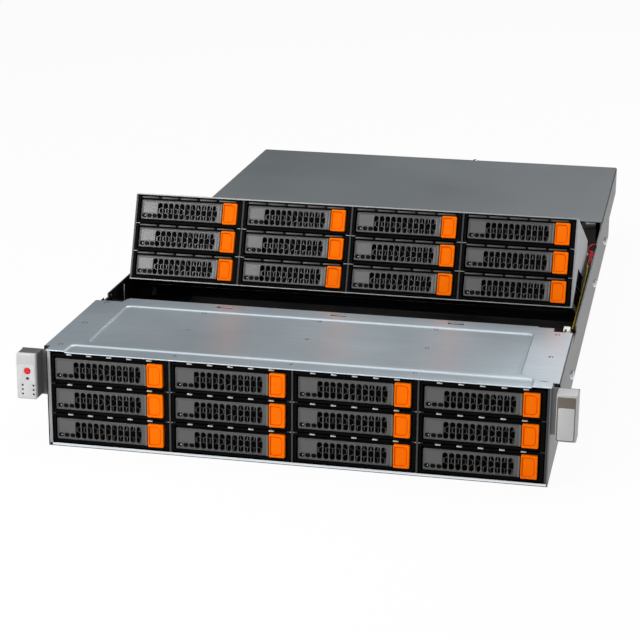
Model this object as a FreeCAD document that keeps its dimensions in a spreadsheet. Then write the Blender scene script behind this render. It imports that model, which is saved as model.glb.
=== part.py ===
import FreeCAD, Part
import math
import os
import re
import Sketcher

# A two-unit storage server for a 19 inch rack. X runs to the right, Y to the rear, Z up.
# Sketches measure Y from the face of the front carriers; placements move that face
# half the depth forwards, so that the origin is under the middle of the body.

DIMS = {
    # body: a narrow lower half, and an upper half that steps out over the rails
    "face_width": 437, "body_width": 449, "body_height": 88, "depth": 846,
    "sheet": 1.2, "joggle_low": 46, "joggle_high": 56, "shoulder": 12, "lip_high": 2.7,
    # the walls are cut down between the two covers, and further in a notch behind the front one
    "notch_top": 77, "notch_rear": 190, "mid_wall_top": 83.7, "mid_wall_rear": 470,
    # covers: the front one has a band and a panel pressed below the sheet round them
    "cover_sheet": 1, "skirt": 9, "skirt_gap": 0.3, "front_cover_len": 153, "tongue_len": 163,
    "tongue_half": 199, "tongue_draft": 3, "press_deep": 1.9, "press_run": 4.6, "press_edge": 1,
    "press_corner": 6, "band_half": 202.5, "band_rear": 21.5, "panel_half": 190,
    "panel_front": 26.5, "panel_rear": 144.7,
    "catch_half": 7.5, "catch_front": 154.5, "catch_rear": 161.5,
    "rear_cover_front": 565, "lap": 1.2, "fold_half": 200, "fold_tall": 5, "flange_half": 27,
    "flange_tall": 12, "screw_x": 47, "screw_z": 82.6, "screw_radius": 2.4, "screw_neck": 2,
    "knob_radius": 5.2, "knob_len": 6,
    # grid of drive bays, the same in the front bank and in the middle bank
    "col_pitch": 107.86, "row_pitch": 27.49, "row_mid": 43.85,
    "divider": 1.2, "ledge": 0.5, "ledge_reach": 4, "cage_len": 166, "cage_side": 1.9, "cage_set": 0.5,
    # drive carrier, measured from the middle of its face
    "frame_wide": 105.4, "frame_tall": 26.4, "frame_front": 1.5, "bezel_rear": 14,
    "tray_len": 165, "rail_low": 13.2, "rail_top": 7,
    "well_left": 50.3, "well_right": 49.1, "well_half_tall": 10.9, "well_rear": 10,
    "grille_edge": 1, "grille_half_tall": 8, "grille_right": 4,
    "lever_left": 48.6, "lever_tall": 21.25, "lever_thick": 8, "lever_gap": 0.6, "lever_pin": 1.5,
    "lever_pin_x": 45.6, "lever_pin_y": 3.2, "lever_pin_len": 1.1, "lever_pin_bite": 1.3,
    "badge_edge": 1.4, "badge_wide": 14.2, "badge_low": 2.6, "badge_high": 6.9, "badge_deep": 0.5,
    "slot_first": 32, "slot_wide": 4.3, "slot_low": 8.4, "slot_high": 6.9,
    "slot_pitch": 5.554, "slot_count": 11, "slot_deep": 6.8,
    "tab_left": 33.79, "tab_wide": 14.96, "tab_proud": 0.5, "tab_rear": 7,
    "recess_edge": 0.9, "recess_wide": 10.7, "recess_half_tall": 8.6, "recess_deep": 0.7,
    "stem_half": 2, "stem_half_tall": 3, "stem_rear": 12.5, "stem_gap": 0.2,
    "disk_wide": 101.6, "disk_tall": 26.1, "disk_len": 147, "disk_front": 16,
    # boards behind the bays
    "board": 2.4, "board_front": 168, "board_half": 212, "board_low": 4, "board_high": 84,
    "vent_half": 196, "vent_half_tall": 5, "socket_half": 21, "socket_half_tall": 3.5, "socket_deep": 4.6,
    "port_half": 16, "port_low": 60, "port_high": 72, "port_deep": 9,
    # middle bank and its pivot
    "mid_face": 226.7, "mid_set": 0.5, "mid_tilt": 21.2, "pivot_y": 456.6, "pivot_z": 20,
    "pin_radius": 4, "pin_gap": 0.08, "pin_flange": 6.5, "pin_flange_thick": 0.6, "pin_shank": 4,
    "pin_head": 6, "pin_head_thick": 1.6,
    "mid_half": 216.5, "mid_plate": 1.6, "mid_floor": 1.6, "mid_top": 87, "lid_lap": 12, "tray_lap": 10,
    "tray_lip": 8, "lid_half": 193, "lid_front": 26, "lid_rear": 154, "lid_corner": 3, "lid_press": 0.4,
    "arm_radius": 12, "arm_flat": 5, "arm_run": 45, "arm_bend": 8, "arm_crook": 20, "arm_rise": 24,
    "cutout_front": 14, "cutout_step": 54, "cutout_rear": 150, "cutout_low": 8, "cutout_high": 45,
    # fans behind the fan wall
    "fan_wall_y": 570, "fan_size": 80, "fan_depth": 38, "fan_bore": 38.4, "fan_low": 3.5,
    "fan_pitch": 108, "fan_first": -150, "hub_radius": 17, "blade_tip": 36, "blade_root": 13,
    "shaft_radius": 2, "shaft_gap": 0.06, "shaft_set": 16, "mount_thick": 6, "strut_half": 2,
    "strut_bite": 0.6, "rotor_set": 4, "rotor_len": 26, "rotor_bore_set": 11.5,
    "duct_left": 138, "duct_right": 208, "duct_low": 10, "duct_high": 58,
    "rest_left": 202, "rest_right": 216, "rest_front": 561.5, "rest_low": 82, "rest_high": 86.6,
    # mainboard
    "main_left": -214, "main_right": 115, "main_front": 640, "main_rear": 835,
    "main_z": 8, "main_thick": 1.6, "main_notch_wide": 30, "main_notch_len": 26,
    "standoff": 3.2, "standoff_edge": 8, "cpu_half": 30, "cpu_front": 40, "cpu_rear": 118, "cpu_tall": 6,
    "dimm_front": 8, "dimm_rear": 150, "dimm_edge": 3, "dimm_pitch": 7.6, "dimm_slot_tall": 4,
    "dimm_set": 4, "dimm_thick": 2.6, "dimm_tall": 30,
    "sink_half": 38, "sink_front": 26, "sink_rear": 132, "sink_base": 5, "fin_thick": 1, "fin_tall": 42,
    "fin_count": 11, "jack_set": 22, "jack_len": 21.6, "jack_wall": 1, "jack_deep": 14,
    # expansion cards and rear panel
    "card_len": 125, "card_low": 22, "card_high": 78, "card_thick": 1.6, "key_front": 110, "key_rear": 40,
    "bracket_half": 9, "bracket_low": 8, "bracket_high": 84,
    "card_slot_half": 5.5, "card_slot_low": 16, "card_slot_high": 76,
    "jack_left": -201, "jack_right": -100, "jack_gap": 0.5, "jack_tall": 15, "bay_gap": 0.8,
    "bay_gap_tall": 0.6, "vent_left": -204, "vent_wide": 14, "vent_low": 34, "vent_high": 78,
    "vent_pitch": 18, "vent_count": 15,
    # power supplies
    "psu_left": 136, "psu_wide": 76, "psu_tall": 39.6, "psu_front": 648, "psu_low": 3.2,
    "psu_step": 41.4, "psu_proud": 2, "psu_fan": 16.5, "psu_fan_x": 22, "psu_fan_deep": 3,
    "inlet_left": 32, "inlet_right": 5, "inlet_low": 9, "inlet_high": 29, "inlet_deep": 16,
    "psu_handle": 20, "handle_left": 3, "handle_right": 40.4, "handle_bar": 3, "handle_half_tall": 5,
    "latch_edge": 3, "latch_root": 5, "latch_hook": 9, "latch_bend": 7, "latch_reach": 13,
    "latch_low": 30.5, "latch_tall": 7,
    # rack ears, on the upper half only, and the studs that hang the slide rails
    "stud_z": 38, "stud_neck": 2.5, "stud_neck_len": 3.5, "stud_head": 4.2, "stud_head_len": 2.4,
    "ear_half": 241.3, "ear_low": 46, "ear_high": 87.2, "ear_front": -13, "ear_plate": 3, "ear_thick": 2,
    "ear_inner": 223.6, "ear_wall": 1.6, "ear_face": 2, "rack_hole_half": 232.55, "rack_hole_z": 66.7,
    "rack_hole": 3.4, "button_x": -231.3, "power_z": 71.75, "reset_z": 64.95, "power_radius": 2.9,
    "reset_radius": 1.2, "power_proud": 0.6, "reset_proud": 0.2, "button_gap": 0.1, "button_len": 5,
    "collar": 0.9, "collar_gap": 0.05, "collar_len": 1.2, "switch_set": 7, "switch_thick": 1.4,
    "light_size": 1.6, "light_proud": 0.2,
    "window_low": 75.4, "window_high": 84.6, "window_edge": 1.2, "window_deep": 0.8,
    # wires in the gap beside the middle bank
    "wire": 4.2,
}

doc = FreeCAD.newDocument("StorageServer")
sheet = doc.addObject("Spreadsheet::Sheet", "Dims")
for line, (alias, size) in enumerate(DIMS.items(), start=1):
    sheet.set(f"A{line}", alias)
    sheet.set(f"B{line}", str(size))
    sheet.setAlias(f"B{line}", alias)
doc.recompute()

nodes = {}
COLUMNS = 4
ROWS = 3
X_AXIS = FreeCAD.Vector(1, 0, 0)


def bind(text):
    """An expression in plain aliases, as one that points at the sheet."""
    def point(word):
        return "Dims." + word.group() if word.group() in DIMS else word.group()
    return re.sub(r"[A-Za-z_]\w*", point, str(text))


def value(text):
    number = sheet.evalExpression(bind(text))
    return float(getattr(number, "Value", number))


def neg(text):
    return f"-({text})"


def column_x(column):
    return f"({column} - {(COLUMNS - 1) / 2})*col_pitch"


def row_z(row):
    """Rows count from the top."""
    return f"row_mid + ({(ROWS - 1) / 2} - {row})*row_pitch"


ROW_GAPS = ("row_mid + row_pitch/2", "row_mid - row_pitch/2")


def rect(left, low, right, high):
    return [(left, low), (right, low), (right, high), (left, high)]


def ring(across, up, radius, sides):
    """A regular polygon that stands in for a small circle."""
    turns = [2 * math.pi * (corner + 0.5) / sides for corner in range(sides)]
    return [(f"{across} + ({radius})*{math.cos(turn):.6f}", f"{up} + ({radius})*{math.sin(turn):.6f}")
            for turn in turns]


def both_sides(right):
    """Close a right-hand outline with its mirror image in the middle plane."""
    return right + [(neg(across), up) for across, up in reversed(right)]


def new_body(label):
    body = doc.addObject("PartDesign::Body", label)
    body.Label = label
    return body


def draw(body, plane, outlines, offset):
    """Outlines of points, or circles as (x, y, radius), on one of the body's own planes."""
    sketch = body.newObject("Sketcher::SketchObject", body.Name + "_sketch")
    support = next(f for f in body.Origin.OriginFeatures if f.Role == plane)
    sketch.AttachmentSupport = [(support, "")]
    sketch.MapMode = "FlatFace"
    sketch.setExpression("AttachmentOffset.Base.z", bind(offset))
    for outline in outlines:
        if isinstance(outline, tuple):
            draw_circle(sketch, *outline)
        else:
            draw_polygon(sketch, outline)
    return sketch


def pin_point(sketch, geometry, position, across, up):
    for kind, text in (("DistanceX", across), ("DistanceY", up)):
        limit = Sketcher.Constraint(kind, -1, 1, geometry, position, value(text))
        index = sketch.addConstraint(limit)
        sketch.setExpression(f"Constraints[{index}]", bind(text))


def draw_polygon(sketch, points):
    spots = [FreeCAD.Vector(value(a), value(b), 0) for a, b in points]
    ends = spots[1:] + spots[:1]
    lines = [sketch.addGeometry(Part.LineSegment(a, b), False) for a, b in zip(spots, ends)]
    for line, following in zip(lines, lines[1:] + lines[:1]):
        sketch.addConstraint(Sketcher.Constraint("Coincident", line, 2, following, 1))
    for line, (across, up) in zip(lines, points):
        pin_point(sketch, line, 1, across, up)


def draw_circle(sketch, across, up, radius):
    centre = FreeCAD.Vector(value(across), value(up), 0)
    normal = FreeCAD.Vector(0, 0, 1)
    ring = sketch.addGeometry(Part.Circle(centre, normal, value(radius)), False)
    pin_point(sketch, ring, 3, across, up)
    index = sketch.addConstraint(Sketcher.Constraint("Radius", ring, value(radius)))
    sketch.setExpression(f"Constraints[{index}]", bind(radius))


def extrude(body, plane, outlines, start, length):
    """Add material from start towards the plane's positive axis."""
    backwards = plane == "XZ_Plane"
    sketch = draw(body, plane, outlines, neg(start) if backwards else start)
    pad = body.newObject("PartDesign::Pad", body.Name + "_pad")
    pad.Profile = sketch
    pad.setExpression("Length", bind(length))
    pad.Reversed = backwards
    return pad


def cut(body, plane, outlines, start, length):
    """Take material away from start towards the plane's positive axis."""
    backwards = plane == "XZ_Plane"
    sketch = draw(body, plane, outlines, neg(start) if backwards else start)
    pocket = body.newObject("PartDesign::Pocket", body.Name + "_pocket")
    pocket.Profile = sketch
    pocket.setExpression("Length", bind(length))
    pocket.Reversed = not backwards
    return pocket


def repeat(body, feature, direction, length, count):
    """Repeat a feature along its sketch's H_Axis or V_Axis."""
    pattern = body.newObject("PartDesign::LinearPattern", body.Name + "_pattern")
    pattern.Originals = [feature]
    pattern.Direction = (feature.Profile[0], [direction])
    pattern.setExpression("Length", bind(length))
    pattern.setExpression("Occurrences", bind(count))
    body.Tip = pattern
    return pattern


def repeat_round(body, feature, axis, count):
    """Repeat a feature round one of the body's own axes."""
    pattern = body.newObject("PartDesign::PolarPattern", body.Name + "_ring")
    pattern.Originals = [feature]
    pattern.Axis = (next(f for f in body.Origin.OriginFeatures if f.Role == axis), [""])
    pattern.Angle = 360
    pattern.Occurrences = count
    body.Tip = pattern
    return pattern


def box(label, low, high):
    """A block between two corners."""
    block = doc.addObject("Part::Box", label)
    for name, start, end in zip(("Length", "Width", "Height"), low, high):
        block.setExpression(name, bind(f"({end}) - ({start})"))
    for axis, start in zip("xyz", low):
        block.setExpression(f"Placement.Base.{axis}", bind(start))
    return block


def group(label, pieces):
    together = doc.addObject("Part::Compound", label)
    together.Links = pieces
    return together


def keep(label, piece, placement=None):
    """Make a piece a node of its own, standing on the origin under the body's middle."""
    piece.Label = label
    if placement is None:
        piece.setExpression("Placement.Base.y", bind("-depth/2"))
    else:
        piece.Placement = placement
    nodes[label] = piece


def half_depth_forward():
    return FreeCAD.Placement(FreeCAD.Vector(0, value("-depth/2"), 0), FreeCAD.Rotation())


def raised():
    """Where the middle bank stands when it is tilted up about its pivot pins."""
    pivot = FreeCAD.Vector(0, value("pivot_y"), value("pivot_z"))
    tilt = FreeCAD.Rotation(X_AXIS, -value("mid_tilt"))
    return half_depth_forward() * FreeCAD.Placement(FreeCAD.Vector(), tilt, pivot)


def shifted(across, back, up):
    return FreeCAD.Placement(FreeCAD.Vector(value(across), value(back), value(up)), FreeCAD.Rotation())


# Chassis


def chassis_tub():
    """Floor pan with two walls: straight at the front, then stepping out in their upper half."""
    low, wide, top = "face_width/2", "body_width/2", "body_height - cover_sheet"
    inside = low + " - sheet"
    pieces = [box("floor_pan", (neg(low), "0", "0"), (low, "depth", "sheet")),
              box("front_lip", (neg(inside), "0", "sheet"), (inside, "cage_set", "lip_high"))]
    stepped = [(low, "joggle_low"), (wide, "joggle_high"), (wide, top), (wide + " - sheet", top),
               (wide + " - sheet", "joggle_high"), (inside, "joggle_low")]
    cut_down = [("front_cover_len", "notch_top"), ("notch_rear", "notch_top"), ("notch_rear", "mid_wall_top"),
                ("mid_wall_rear", "mid_wall_top"), ("mid_wall_rear", top), ("front_cover_len", top)]
    for side, near, far in (("", inside, low), ("-", neg(low), neg(inside))):
        pieces.append(box("lower_wall", (near, "0", "sheet"), (far, "depth", "joggle_low")))
        wall = new_body("upper_wall")
        extrude(wall, "XZ_Plane", [[(f"{side}({x})", z) for x, z in stepped]], "shoulder", "depth - shoulder")
        straight = rect(near, "joggle_low", far, top)
        extrude(wall, "XZ_Plane", [straight], "0", "shoulder + sheet")
        web = rect(f"{side}({inside})", "joggle_low", f"{side}({wide})", top)
        extrude(wall, "XZ_Plane", [web], "shoulder", "sheet")
        outer = neg(wide) if side else inside
        cut(wall, "YZ_Plane", [cut_down], outer, f"{wide} - ({inside})")
        pieces.append(wall)
    keep("chassis_tub", group("chassis_tub", pieces))


def ledge_steps(web, low, high):
    """The right half of a divider's section: a web with a guide ledge between two rows."""
    steps = [(web, low)]
    reach = web + " + ledge_reach"
    for middle in reversed(ROW_GAPS):
        steps += [(web, f"{middle} - ledge/2"), (reach, f"{middle} - ledge/2"),
                  (reach, f"{middle} + ledge/2"), (web, f"{middle} + ledge/2")]
    return steps + [(web, high)]


def dividers(label, front, low, high):
    """Three plates between the columns, with guide ledges on both faces."""
    plates = []
    for place in range(1, COLUMNS):
        plate = new_body(f"{label}_{place}")
        section = both_sides(ledge_steps("divider/2", low, high))
        extrude(plate, "XZ_Plane", [section], front, "cage_len")
        plate.setExpression("Placement.Base.x", bind(f"({place} - {COLUMNS / 2})*col_pitch"))
        plates.append(plate)
    return plates


def guide_strips(plate, side, face, front):
    """Guide ledges on the inner face of a side plate."""
    for middle in ROW_GAPS:
        strip = rect(f"{side}({face} - ledge_reach)", f"{middle} - ledge/2",
                     f"{side}({face})", f"{middle} + ledge/2")
        extrude(plate, "XZ_Plane", [strip], front, "cage_len")


def front_cage():
    top = "body_height - cover_sheet"
    plates = dividers("front_divider", "cage_set", "sheet", f"{top} - press_deep")
    outer = "face_width/2 - sheet"
    inner = outer + " - cage_side"
    for side, name in (("", "right"), ("-", "left")):
        plate = new_body(f"front_cage_{name}")
        wall = rect(f"{side}({inner})", "sheet", f"{side}({outer})", top)
        extrude(plate, "XZ_Plane", [wall], "cage_set", "cage_len")
        guide_strips(plate, side, inner, "cage_set")
        plates.append(plate)
    keep("front_cage", group("front_cage", plates))


CATCH_X = ("-99.2", "8.6", "117.6")
# outer face of the skirts, which hang inside the walls
SKIRT = "body_width/2 - sheet - skirt_gap"


def band_outline(grow, front):
    """The front band, grown on three sides, and open towards the front edge."""
    half, rear = f"band_half + ({grow})", f"band_rear + ({grow})"
    return both_sides([(half, front), (half, f"{rear} - press_corner"), (f"{half} - press_corner", rear)])


def panel_outline(grow):
    half, front, rear = f"panel_half + ({grow})", f"panel_front - ({grow})", f"panel_rear + ({grow})"
    return both_sides([(f"{half} - press_corner", front), (half, f"{front} + press_corner"),
                       (half, f"{rear} - press_corner"), (f"{half} - press_corner", rear)])


def front_cover():
    """Pressed lid of the front bank, with a tongue that laps towards the middle bank."""
    cover = new_body("front_cover")
    wide = "body_width/2"
    under = "body_height - cover_sheet"
    outline = [("face_width/2", "0"), ("face_width/2", "shoulder"), (wide, "shoulder"),
               (wide, "front_cover_len"), ("tongue_half", "front_cover_len"),
               ("tongue_half - tongue_draft", "tongue_len")]
    extrude(cover, "XY_Plane", [both_sides(outline)], under, "cover_sheet")
    inner = f"{SKIRT} - cover_sheet"
    for side in ("", "-"):
        fold = rect(f"{side}({inner})", "shoulder + 2*sheet", f"{side}({SKIRT})", "front_cover_len")
        extrude(cover, "XY_Plane", [fold], "body_height - skirt", "skirt - cover_sheet")
    sunk = [band_outline("press_edge", "0"), panel_outline("press_edge")]
    extrude(cover, "XY_Plane", sunk, f"{under} - press_deep", "press_deep")
    hollow = [band_outline("-press_run", "-2*press_run"), panel_outline("-press_run")]
    pressing = cut(cover, "XY_Plane", hollow, "body_height - press_deep", "press_deep")
    pressing.setExpression("TaperAngle", bind("atan(press_run/press_deep)"))
    catches = [rect(f"{x} - catch_half", "catch_front", f"{x} + catch_half", "catch_rear") for x in CATCH_X]
    cut(cover, "XY_Plane", catches, under, "cover_sheet")
    keep("front_cover", cover)


PORT_X = ("-150", "0", "150")


def backplane(label, front):
    """Board with a connector for every bay and cooling slots between the rows."""
    board = new_body(label + "_board")
    outline = rect("-board_half", "board_low", "board_half", "board_high")
    extrude(board, "XZ_Plane", [outline], front, "board")
    slots = [rect("-vent_half", f"{z} - vent_half_tall", "vent_half", f"{z} + vent_half_tall")
             for z in ROW_GAPS]
    cut(board, "XZ_Plane", slots, front, "board")
    pieces = [board]
    for column in range(COLUMNS):
        for row in range(ROWS):
            x, z = column_x(column), row_z(row)
            pieces.append(box(f"{label}_socket",
                              (f"{x} - socket_half", f"{front} - socket_deep", f"{z} - socket_half_tall"),
                              (f"{x} + socket_half", front, f"{z} + socket_half_tall")))
    for x in PORT_X:
        pieces.append(box(f"{label}_port", (f"{x} - port_half", f"{front} + board", "port_low"),
                          (f"{x} + port_half", f"{front} + board + port_deep", "port_high")))
    return group(label, pieces)


TURNED_SIDES = 8


def outwards(side, near, length):
    """Where a pad along X starts so that it runs away from the middle plane."""
    return f"-({near}) - ({length})" if side else near


def pivot_pins():
    """Shouldered pins on the side walls that carry the middle bank's arms."""
    pins = []
    wall = "face_width/2 - sheet"
    flange = ring("pivot_y", "pivot_z", "pin_flange", TURNED_SIDES)
    shank = ("pivot_y", "pivot_z", "pin_radius")
    head = ring("pivot_y", "pivot_z", "pin_head", TURNED_SIDES)
    for side in ("-", ""):
        pin = new_body("pivot_pin")
        near = wall
        for outline, length in ((flange, "pin_flange_thick"), (shank, "pin_shank"), (head, "pin_head_thick")):
            near = f"{near} - {length}"
            extrude(pin, "YZ_Plane", [outline], outwards(side, near, length), length)
        pins.append(pin)
    keep("pivot_pins", group("pivot_pins", pins))


STUD_Y = ("184", "495", "676")


def rail_studs():
    """Headed studs that hang the slide rails, three on each side wall."""
    studs = []
    wall = "face_width/2"
    for side in ("-", ""):
        for y in STUD_Y:
            stud = new_body("rail_stud")
            neck = ring(y, "stud_z", "stud_neck", TURNED_SIDES)
            extrude(stud, "YZ_Plane", [neck], outwards(side, wall, "stud_neck_len"), "stud_neck_len")
            head = ring(y, "stud_z", "stud_head", TURNED_SIDES)
            far = f"{wall} + stud_neck_len"
            extrude(stud, "YZ_Plane", [head], outwards(side, far, "stud_head_len"), "stud_head_len")
            studs.append(stud)
    keep("rail_studs", group("rail_studs", studs))


# Drive carriers


def carrier_frame(working):
    """Black front frame with a well for the lever and the tab, and two rails for the disk."""
    frame = new_body("carrier_frame")
    half, tall = "frame_wide/2", "frame_tall/2"
    extrude(frame, "XZ_Plane", [rect(neg(half), neg(tall), half, tall)],
            "frame_front", "bezel_rear - frame_front")
    for side in ("", "-"):
        rail = rect(f"{side}(disk_wide/2)", "-rail_low", f"{side}({half})", "rail_top")
        extrude(frame, "XZ_Plane", [rail], "bezel_rear", "tray_len - bezel_rear")
    cut(frame, "XZ_Plane", [rect("-well_left", "-well_half_tall", "well_right", "well_half_tall")],
        "0", "well_rear")
    openings = [rect("-slot_first - grille_edge", "-grille_half_tall",
                     "tab_left - grille_right", "grille_half_tall")]
    if working:
        stem, reach, rise = "tab_left + tab_wide/2", "stem_half + stem_gap", "stem_half_tall + stem_gap"
        openings.append(rect(f"{stem} - ({reach})", neg(rise), f"{stem} + {reach}", rise))
    cut(frame, "XZ_Plane", openings, "0", "bezel_rear")
    if working:
        reach = "lever_pin + pin_gap"
        socket = rect(f"-lever_pin_x - ({reach})", f"lever_pin_y - ({reach})",
                      f"-lever_pin_x + {reach}", f"lever_pin_y + {reach}")
        bite = "well_half_tall + lever_pin_bite"
        cut(frame, "XY_Plane", [socket], neg(bite), f"2*({bite})")
    return frame


LEVER_PIN_SIDES = 8


def carrier_lever(working):
    """Gray lever on two stub pins at its left end: a grille of slots with a screen behind."""
    lever = new_body("carrier_lever")
    half = "lever_tall/2"
    right = "tab_left - lever_gap"
    edge = "-lever_left + badge_edge"
    extrude(lever, "XZ_Plane", [rect("-lever_left", neg(half), right, half)], "0", "lever_thick")
    badge = rect(edge, "-badge_low", f"{edge} + badge_wide", "badge_high")
    cut(lever, "XZ_Plane", [badge], "0", "badge_deep")
    first = cut(lever, "XZ_Plane", [rect("-slot_first", "-slot_low", "-slot_first + slot_wide", "slot_high")],
                "0", "slot_deep")
    repeat(lever, first, "H_Axis", "slot_pitch*(slot_count - 1)", "slot_count")
    if working:
        pin = ring("-lever_pin_x", "lever_pin_y", "lever_pin", LEVER_PIN_SIDES)
        for start in (f"-({half}) - lever_pin_len", half):
            extrude(lever, "XY_Plane", [pin], start, "lever_pin_len")
    return lever


def carrier_tab(working):
    """Orange release tab with a finger recess, on a stem that runs through the frame's rear wall."""
    tab = new_body("carrier_tab")
    half = "lever_tall/2"
    extrude(tab, "XZ_Plane", [rect("tab_left", neg(half), "tab_left + tab_wide", half)],
            "-tab_proud", "tab_rear + tab_proud")
    edge = "tab_left + recess_edge"
    recess = rect(edge, "-recess_half_tall", f"{edge} + recess_wide", "recess_half_tall")
    cut(tab, "XZ_Plane", [recess], "-tab_proud", "recess_deep")
    if working:
        middle = "tab_left + tab_wide/2"
        stem = rect(f"{middle} - stem_half", "-stem_half_tall", f"{middle} + stem_half", "stem_half_tall")
        extrude(tab, "XZ_Plane", [stem], "tab_rear", "stem_rear - tab_rear")
    return tab


def disk():
    drive = new_body("disk")
    half, tall = "disk_wide/2", "disk_tall/2"
    extrude(drive, "XZ_Plane", [rect(neg(half), neg(tall), half, tall)], "disk_front", "disk_len")
    return drive


def carriers():
    """Twelve carriers in each bank. In the top front row the lever and the tab move by themselves."""
    drive = disk()
    made = {working: (carrier_frame(working), carrier_lever(working), carrier_tab(working))
            for working in (False, True)}
    for bank, stand, face in (("front", half_depth_forward(), "0"), ("mid", raised(), "mid_face")):
        for row in range(ROWS):
            for column in range(COLUMNS):
                place = stand * shifted(column_x(column), face, row_z(row))
                spot = f"r{row + 1}c{column + 1}"
                working = bank == "front" and row == 0
                frame, lever, tab = made[working]
                solids = [frame, drive] if working else [frame, drive, lever, tab]
                keep(f"{bank}_carrier_{spot}", group(f"{bank}_carrier_{spot}", solids), place)
                if working:
                    keep(f"{bank}_lever_{spot}", group(f"{bank}_lever_{spot}", [lever]), place)
                    keep(f"{bank}_tab_{spot}", group(f"{bank}_tab_{spot}", [tab]), place)


# Middle bank, drawn lowered and then tilted up


MID_FRONT = "mid_face + mid_set"


def mid_cage():
    """Dividers, and side plates that are cut out low down and run back to the pivot pins as arms."""
    low, high = "mid_floor + sheet", "mid_top - sheet"
    plates = dividers("mid_divider", MID_FRONT, low, high)
    outline = [(MID_FRONT, low), ("pivot_y - arm_run", low),
               ("pivot_y - arm_bend", "pivot_z - arm_radius"), ("pivot_y + arm_flat", "pivot_z - arm_radius"),
               ("pivot_y + arm_radius", "pivot_z - arm_flat"), ("pivot_y + arm_radius", "pivot_z + arm_flat"),
               ("pivot_y + arm_flat", "pivot_z + arm_radius"), ("pivot_y - arm_crook", "pivot_z + arm_rise"),
               ("mid_face + board_front + lid_lap", high), (MID_FRONT, high)]
    cutout = [("mid_face + cutout_front", "cutout_low"), ("mid_face + cutout_rear", "cutout_low"),
              ("mid_face + cutout_rear", "cutout_high"), ("mid_face + cutout_step", "cutout_high")]
    bore = ("pivot_y", "pivot_z", "pin_radius + pin_gap")
    inner = "mid_half - mid_plate"
    for side, name in (("", "right"), ("-", "left")):
        plate = new_body(f"mid_cage_{name}")
        start = outwards(side, inner, "mid_plate")
        extrude(plate, "YZ_Plane", [outline], start, "mid_plate")
        cut(plate, "YZ_Plane", [bore, cutout], start, "mid_plate")
        guide_strips(plate, side, inner, MID_FRONT)
        plates.append(plate)
    keep("mid_cage", group("mid_cage", plates), raised())


def mid_tray():
    """Floor of the middle bank with a turned-up lip at its rear edge."""
    tray = new_body("mid_tray")
    rear = "mid_face + board_front + tray_lap"
    extrude(tray, "XY_Plane", [rect("-mid_half", MID_FRONT, "mid_half", rear)], "mid_floor", "sheet")
    lip = rect("-mid_half + mid_plate", f"{rear} - sheet", "mid_half - mid_plate", rear)
    extrude(tray, "XY_Plane", [lip], "mid_floor + sheet", "tray_lip")
    keep("mid_tray", tray, raised())


def mid_lid():
    """Top plate of the middle bank with a pressed panel."""
    lid = new_body("mid_lid")
    rear = "mid_face + board_front + lid_lap"
    extrude(lid, "XY_Plane", [rect("-mid_half", MID_FRONT, "mid_half", rear)], "mid_top - sheet", "sheet")
    front, back = "mid_face + lid_front", "mid_face + lid_rear"
    panel = [("lid_half - lid_corner", front), ("lid_half", f"{front} + lid_corner"),
             ("lid_half", f"{back} - lid_corner"), ("lid_half - lid_corner", back)]
    cut(lid, "XY_Plane", [both_sides(panel)], "mid_top - lid_press", "lid_press")
    keep("mid_lid", lid, raised())


# Cooling


def fan_centre(place):
    return f"fan_first + {place}*fan_pitch"


FANS = 3
BLADES = 5
DUCT_SIDES = 12
SHAFT_SIDES = 8


def fan_wall():
    """Sheet partition with a round opening for every fan, and the fans' square frames behind it."""
    wall = new_body("fan_partition")
    half = "face_width/2 - sheet"
    middle = "fan_low + fan_size/2"
    extrude(wall, "XZ_Plane", [rect(neg(half), "sheet", half, "body_height - cover_sheet")],
            "fan_wall_y", "sheet")
    openings = [ring(fan_centre(place), middle, "fan_bore", DUCT_SIDES) for place in range(FANS)]
    openings.append(rect("duct_left", "duct_low", "duct_right", "duct_high"))
    cut(wall, "XZ_Plane", openings, "fan_wall_y", "sheet")
    pieces = [wall]
    for low, high in (("-rest_right", "-rest_left"), ("rest_left", "rest_right")):
        pieces.append(box("cover_rest", (low, "rest_front", "rest_low"),
                          (high, "fan_wall_y", "rest_low + sheet")))
        pieces.append(box("cover_rest_lip", (low, "rest_front", "rest_low + sheet"),
                          (high, "rest_front + sheet", "rest_high")))
    for place in range(FANS):
        pieces.append(fan_frame(place))
    keep("fan_wall", group("fan_wall", pieces))


def fan_frame(place):
    """Square frame with a round duct, and a motor mount held by two struts at the rear."""
    frame = new_body(f"fan_frame_{place + 1}")
    middle = "fan_low + fan_size/2"
    x = fan_centre(place)
    start = "fan_wall_y + sheet"
    square = rect(f"{x} - fan_size/2", "fan_low", f"{x} + fan_size/2", "fan_low + fan_size")
    extrude(frame, "XZ_Plane", [square], start, "fan_depth")
    cut(frame, "XZ_Plane", [ring(x, middle, "fan_bore", DUCT_SIDES)], start, "fan_depth")
    reach = "fan_bore + strut_bite"
    struts = rect(f"{x} - ({reach})", f"{middle} - strut_half", f"{x} + {reach}", f"{middle} + strut_half")
    mount = f"{start} + fan_depth - mount_thick"
    extrude(frame, "XZ_Plane", [struts], mount, "mount_thick")
    extrude(frame, "XZ_Plane", [ring(x, middle, "hub_radius", DUCT_SIDES)], mount, "mount_thick")
    extrude(frame, "XZ_Plane", [ring(x, middle, "shaft_radius", SHAFT_SIDES)],
            f"{start} + shaft_set", "fan_depth - mount_thick - shaft_set")
    return frame


# section of a blade, as distances from the rotor's front face and from its middle
BLADE = ((2, -8), (4.6, -8.6), (15, 0), (24, 8.4), (21.4, 8.4), (13, 1.6))


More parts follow.
